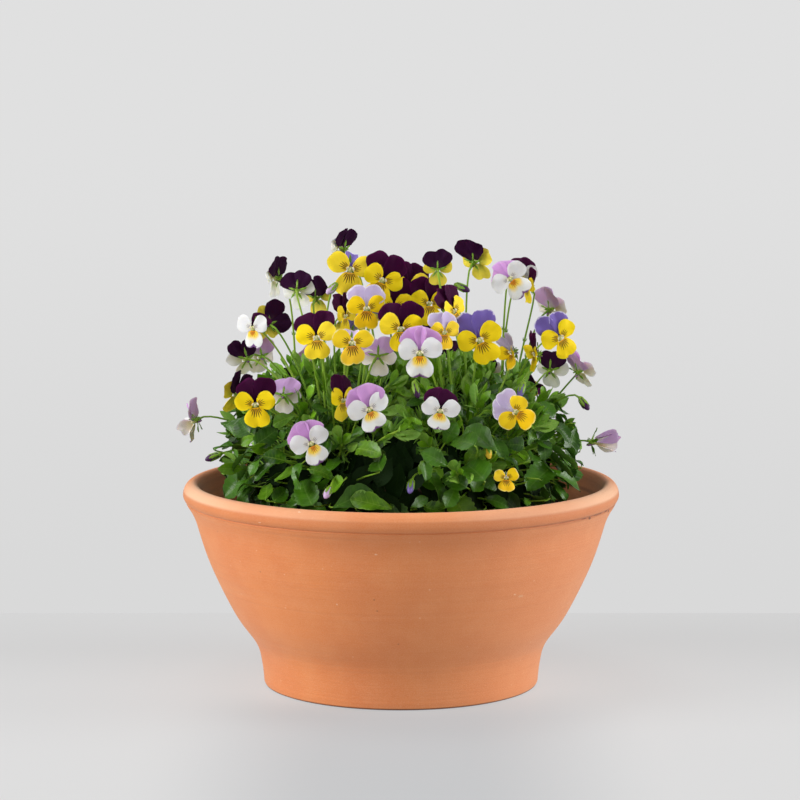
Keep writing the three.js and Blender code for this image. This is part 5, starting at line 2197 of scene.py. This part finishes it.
    def grow_stipules(self, joint: Joint) -> None:
        """Two fans of narrow lobes where a leaf leaves the shoot.

        Args:
            joint: Where they stand.
        """
        draw = joint.draw
        for side in (-1, 1):
            out = joint.round(side * 1.1)
            for k in range(3):
                way = unit(joint.along * (1.15 - 0.4 * k) + out * (0.4 + 0.3 * k))
                length = (19 - 4.2 * k) * draw(0.75, 1.15)
                lobe = Leaf(joint.base, way, square_to(out, way), 0, length, 2.6 - 0.4 * k,
                            draw(-2.5, 1.5), LeafShape.STRAP, 0.15, 0.2, draw(-1.5, 1.5))
                if self.clear(lobe, 4, 0.5):
                    lobe.grow(self.stock, draw(0.1, 0.95), YOUNG)

    def grow_tip(self, joint: Joint) -> None:
        """The small upright leaves that open at the end of a shoot.

        Args:
            joint: The end of the shoot.
        """
        draw = joint.draw
        for k in range(5):
            out = joint.round(k * GOLDEN_TURN)
            way = unit(joint.along + out * (0.25 + 0.13 * k))
            face = square_to(-out if k < 2 else out, way)
            length = (11 + 2.6 * k) * draw(0.85, 1.15)
            leaf = Leaf(joint.base - joint.along * 1.5 * k, way, face, 1.5, length, length * 0.42,
                        draw(0, 3), LeafShape.LANCE, 0.3, 0.2, draw(-1, 1), draw(0, 6))
            if self.clear(leaf, 5, 0.6):
                leaf.grow(self.stock, draw(0.3, 1), YOUNG)

    def grow_low_leaves(self) -> None:
        """Long-stalked round leaves that hang over one another round the foot of the foliage."""
        draw = Draw(self.number * 71 + 3, 1)
        for tier, (height, ring) in enumerate(SKIRT):
            for k in range(SKIRT_COUNT):
                place = k + 0.5 * (tier % 2) + draw(-0.35, 0.35)
                out = toward(FULL_TURN * place / SKIRT_COUNT)
                centre = out * (ring + draw(-5, 4)) + UP * (height + draw(-5, 5))
                if self.ground.nearest(centre) != self.number - 1:
                    continue
                way, face = hung(out, draw(0.5, 1), draw(0.2, 1.5), draw(-1, 1), draw(-2.6, 2.6))
                oval = draw(0, 1) > 0.6
                length = (12 + 15 * draw(0, 1) ** 1.4) * (1.2 if oval else 1)
                width = length * (draw(0.48, 0.62) if oval else draw(0.66, 0.96))
                leaf = Leaf(centre - way * length * 0.5, way, face, 0, length, width, draw(1, 5),
                            LeafShape.OVAL if oval else LeafShape.ROUND, draw(0.14, 0.5),
                            draw(0.5, 1.3), draw(-3, 3), draw(0, 6.3),
                            self.crown + UP * (self.surface + 8) + out * 3)
                if self.fits(leaf, self.low_leaf_gap):
                    sides = YOUNG if draw(0, 1) > 0.8 else OLD
                    leaf.grow(self.stock, draw(0, 0.85), sides)

    def grow_inner_leaves(self) -> None:
        """Leaves inside the foliage in a near-black green, painted shade where little light comes."""
        draw = Draw(self.number * 53 + 7, 1)
        for k in range(INNER_COUNT):
            rise = (k + 0.5) / INNER_COUNT
            ring = INNER_RADIUS * math.sqrt(1 - max(rise - 0.35, 0) / 0.65)
            out = toward(k * GOLDEN_TURN)
            centre = out * (ring + draw(-5, 5)) + UP * (128 + 95 * rise**0.8 + draw(-4, 4))
            if self.ground.nearest(centre) != self.number - 1:
                continue
            way, face = hung(out, 1, draw(0, 0.5) + 2 * rise**3, draw(-0.6, 0.6), draw(-1.2, 1.2))
            length = draw(22, 32)
            leaf = Leaf(centre - way * length * 0.5, way, face, 0, length, length * draw(0.6, 0.8),
                        draw(1, 4), LeafShape.LANCE, 0.2, 0.8, draw(-2, 2), draw(0, 6.3))
            if self.clear(leaf, 5, 0.6):
                leaf.grow(self.stock, draw(0, 1), SHADED)


@dataclass
class Planting:
    """Everything that grows in the pot."""

    pot: BowlPot
    soil: PottingSoil
    dome_radius: float = 141
    dome_base: float = 150
    dome_rise: float = 97
    main_shoots: int = 44
    main_ring: float = 119
    side_shoots: int = 88
    side_ring: float = 126

    def dome_height(self, radius: float) -> float:
        """The height of the foliage at a radius."""
        share = min(radius / self.dome_radius, 1) ** 4.4
        return self.dome_base + self.dome_rise * (1 - share) ** 0.75

    def shoot_paths(self, ground: Ground) -> list[list[tuple[Array, int]]]:
        """The middle lines of the shoots of each plant, spread as seeds are in a sunflower.

        Args:
            ground: The crowns they come from.

        Returns:
            For each plant, the line and the seed of each shoot.
        """
        paths: list[list[tuple[Array, int]]] = [[] for _ in ground.crowns]
        draw = Draw(19, 1)
        for i in range(self.main_shoots + self.side_shoots):
            if i < self.main_shoots:
                place, count, ring, start_turn, margin = i, self.main_shoots, self.main_ring, 0, 4
                drop = 15
            else:
                place, count, ring = i - self.main_shoots, self.side_shoots, self.side_ring
                start_turn, margin = 2.1, 1
                drop = draw(8, 42)
            reach = ring * math.sqrt((place + 0.5) / count)
            turn = place * GOLDEN_TURN + start_turn
            tip = reach * toward(turn) + UP * (self.dome_height(reach) - drop)
            plant = ground.nearest(tip)
            held = ground.pulled_inside(tip, plant, margin)
            start = ground.crowns[plant] + UP * 150
            lift = start + (held - start) * 0.45
            lift[2] = start[2] + 0.75 * (held[2] - start[2])
            foot = ground.crowns[plant] + 4 * toward(i) + UP * 120
            line = np.vstack([bezier([foot, foot + UP * 12, start], 6)[:-1],
                              bezier([start, lift, held], 20)])
            paths[plant].append((line, i))
        return paths

    def build(self) -> None:
        """Grows the blooms and the tufts."""
        rows = [[row] for row in HEADS] + [pair_rows(*pair) for pair in PAIRS]
        blooms = [Bloom(i, [Head.from_row(row) for row in group]) for i, group in enumerate(rows, 1)]
        buds = [Head.from_row((tip, x, y, z, yaw, pitch, 0, 1, 0))
                for x, y, z, yaw, pitch, tip in BUDS]
        flowers = Flowers([head for bloom in blooms for head in bloom.heads], buds)
        petals = {variety: palette.make(variety) for variety, palette in PALETTES.items()}
        for bloom in blooms:
            bloom.build(petals)
        ground = Ground()
        stalks = Stalks(ground, flowers)
        greens = [GREENS[green].make(green.name.lower().replace("_", " ")) for green in Green]
        centres: list[Array] = []
        for number, shoots in enumerate(self.shoot_paths(ground), 1):
            tuft = Tuft(number, ground, flowers, stalks, self.pot, self.soil, shoots,
                        centres=centres)
            tuft.build(greens)


# Studio


@dataclass
class Studio:
    """The pale table, the light and the camera."""

    camera_distance: float = 2.2
    camera_height: float = 0.48
    camera_dip: float = 0.1225
    lens: float = 136.35
    table_half: float = 4
    table_back: float = 0.26
    table_glow: float = 0.745
    # Painted shade: the table's glow darkens a little towards its back edge
    far_band: tuple[float, float] = (-0.05, 0.16)
    # Where the painted shade and reflection of the pot lies on the table in front of it
    pot_shade_sides: tuple[float, float] = (0.18, 0.04)
    pot_shade_back: tuple[float, float] = (-0.03, -0.13)
    pot_shade_front: tuple[float, float] = (-0.8, -0.42)
    horizon: tuple[float, float] = (-0.19, -0.03)
    lamps: tuple[tuple[str, float, float, float, float, float], ...] = (
        ("left", -2.3, -0.75, 1.25, 1.4, 60),
        ("right", 2.35, -0.15, 1.15, 1.3, 49),
        ("front", 0.25, -2.7, 0.55, 1.3, 7.5),
        ("top", -0.5, 0.3, 2.4, 1.0, 11),
    )

    def build(self) -> None:
        """Sets up the table, the lights, the backdrop and the camera."""
        self.table()
        self.backdrop()
        for name, x, y, z, size, power in self.lamps:
            self.light(name, (x, y, z), size, power)
        self.camera()

    def table(self) -> None:
        """A pale satin table top that ends behind the pot, its glow painted a little darker towards the
        back and with a painted shade and reflection of the pot in front of the pot.
        """
        material, wiring, shader = new_finish("pale table")
        x, y, _ = wiring.parts(wiring.place())
        # Painted shade: the table's glow darkens a little towards its back edge
        far = wiring.blend(y.step(*self.far_band), colour(0xD8D8D8), colour(0xCFCFCF))
        # Painted shade and reflection of the pot: a cool darker patch in the glow in front of the pot
        pot_shade_ahead = (abs(x).step(*self.pot_shade_sides) * y.step(*self.pot_shade_back)
                 * y.step(*self.pot_shade_front))
        wiring.fill(shader, Base_Color=colour(0x747474), Roughness=0.5, Specular_IOR_Level=0.03,
                    Emission_Color=far.mixed(0xB8BCBF, pot_shade_ahead), Emission_Strength=self.table_glow)
        mesh = bpy.data.meshes.new("table")
        half, back = self.table_half, self.table_back
        corners = [(-half, -half, 0), (half, -half, 0), (half, back, 0), (-half, back, 0)]
        mesh.from_pydata(corners, [], [(0, 1, 2, 3)])
        mesh.materials.append(material)
        shown("table", mesh)

    def backdrop(self) -> None:
        """A plain pale grey all round, which also lights the planter softly."""
        world = bpy.data.worlds.new("studio")
        bpy.context.scene.world = world
        world.use_nodes = True
        world.node_tree.nodes.clear()
        wiring = Wiring(world.node_tree)
        way = wiring.signal(wiring.node("ShaderNodeTexCoord").outputs["Generated"])
        shade = wiring.blend(wiring.parts(way)[2].step(*self.horizon), colour(0xD9D9D9),
                             colour(0xE0E0E0))
        seen = wiring.fed(wiring.node("ShaderNodeBackground"), shade)
        lit = wiring.fed(wiring.node("ShaderNodeBackground"), (0.74, 0.74, 0.75, 1), 0.47)
        direct = wiring.node("ShaderNodeLightPath").outputs["Is Camera Ray"]
        mix = wiring.fed(wiring.node("ShaderNodeMixShader"), wiring.signal(direct), lit, seen)
        wiring.fill(wiring.node("ShaderNodeOutputWorld"), Surface=mix)

    @staticmethod
    def light(name: str, place: tuple[float, float, float], size: float, power: float) -> None:
        """A soft square light that looks at the planter.

        Args:
            name: Its name.
            place: Where it hangs, in metres.
            size: The length of its sides.
            power: Its power in watts.
        """
        lamp = bpy.data.lights.new(name, "AREA")
        lamp.size = size
        lamp.energy = power
        holder = shown(name, lamp)
        holder.location = place
        aim = Vector((0, 0, 0.16)) - Vector(place)
        holder.rotation_euler = aim.to_track_quat("-Z", "Y").to_euler()

    def camera(self) -> None:
        """The camera at the viewing angle of the photograph."""
        lens = bpy.data.cameras.new("camera")
        lens.lens = self.lens
        lens.sensor_width = 36
        lens.shift_x = -1 / 800
        camera = shown("camera", lens)
        camera.location = (0, -self.camera_distance, self.camera_height)
        camera.rotation_euler = (math.pi / 2 - self.camera_dip, 0, 0)
        bpy.context.scene.camera = camera
        bpy.context.scene.view_settings.view_transform = "Standard"


def main() -> None:
    """Builds the studio, the pot, the soil and the planting."""
    logging.basicConfig(level=logging.INFO, format="%(name)s: %(message)s")
    Studio().build()
    pot = BowlPot()
    pot.build()
    soil = PottingSoil(pot)
    soil.build()
    Planting(pot, soil).build()


if __name__ == "__main__":
    main()
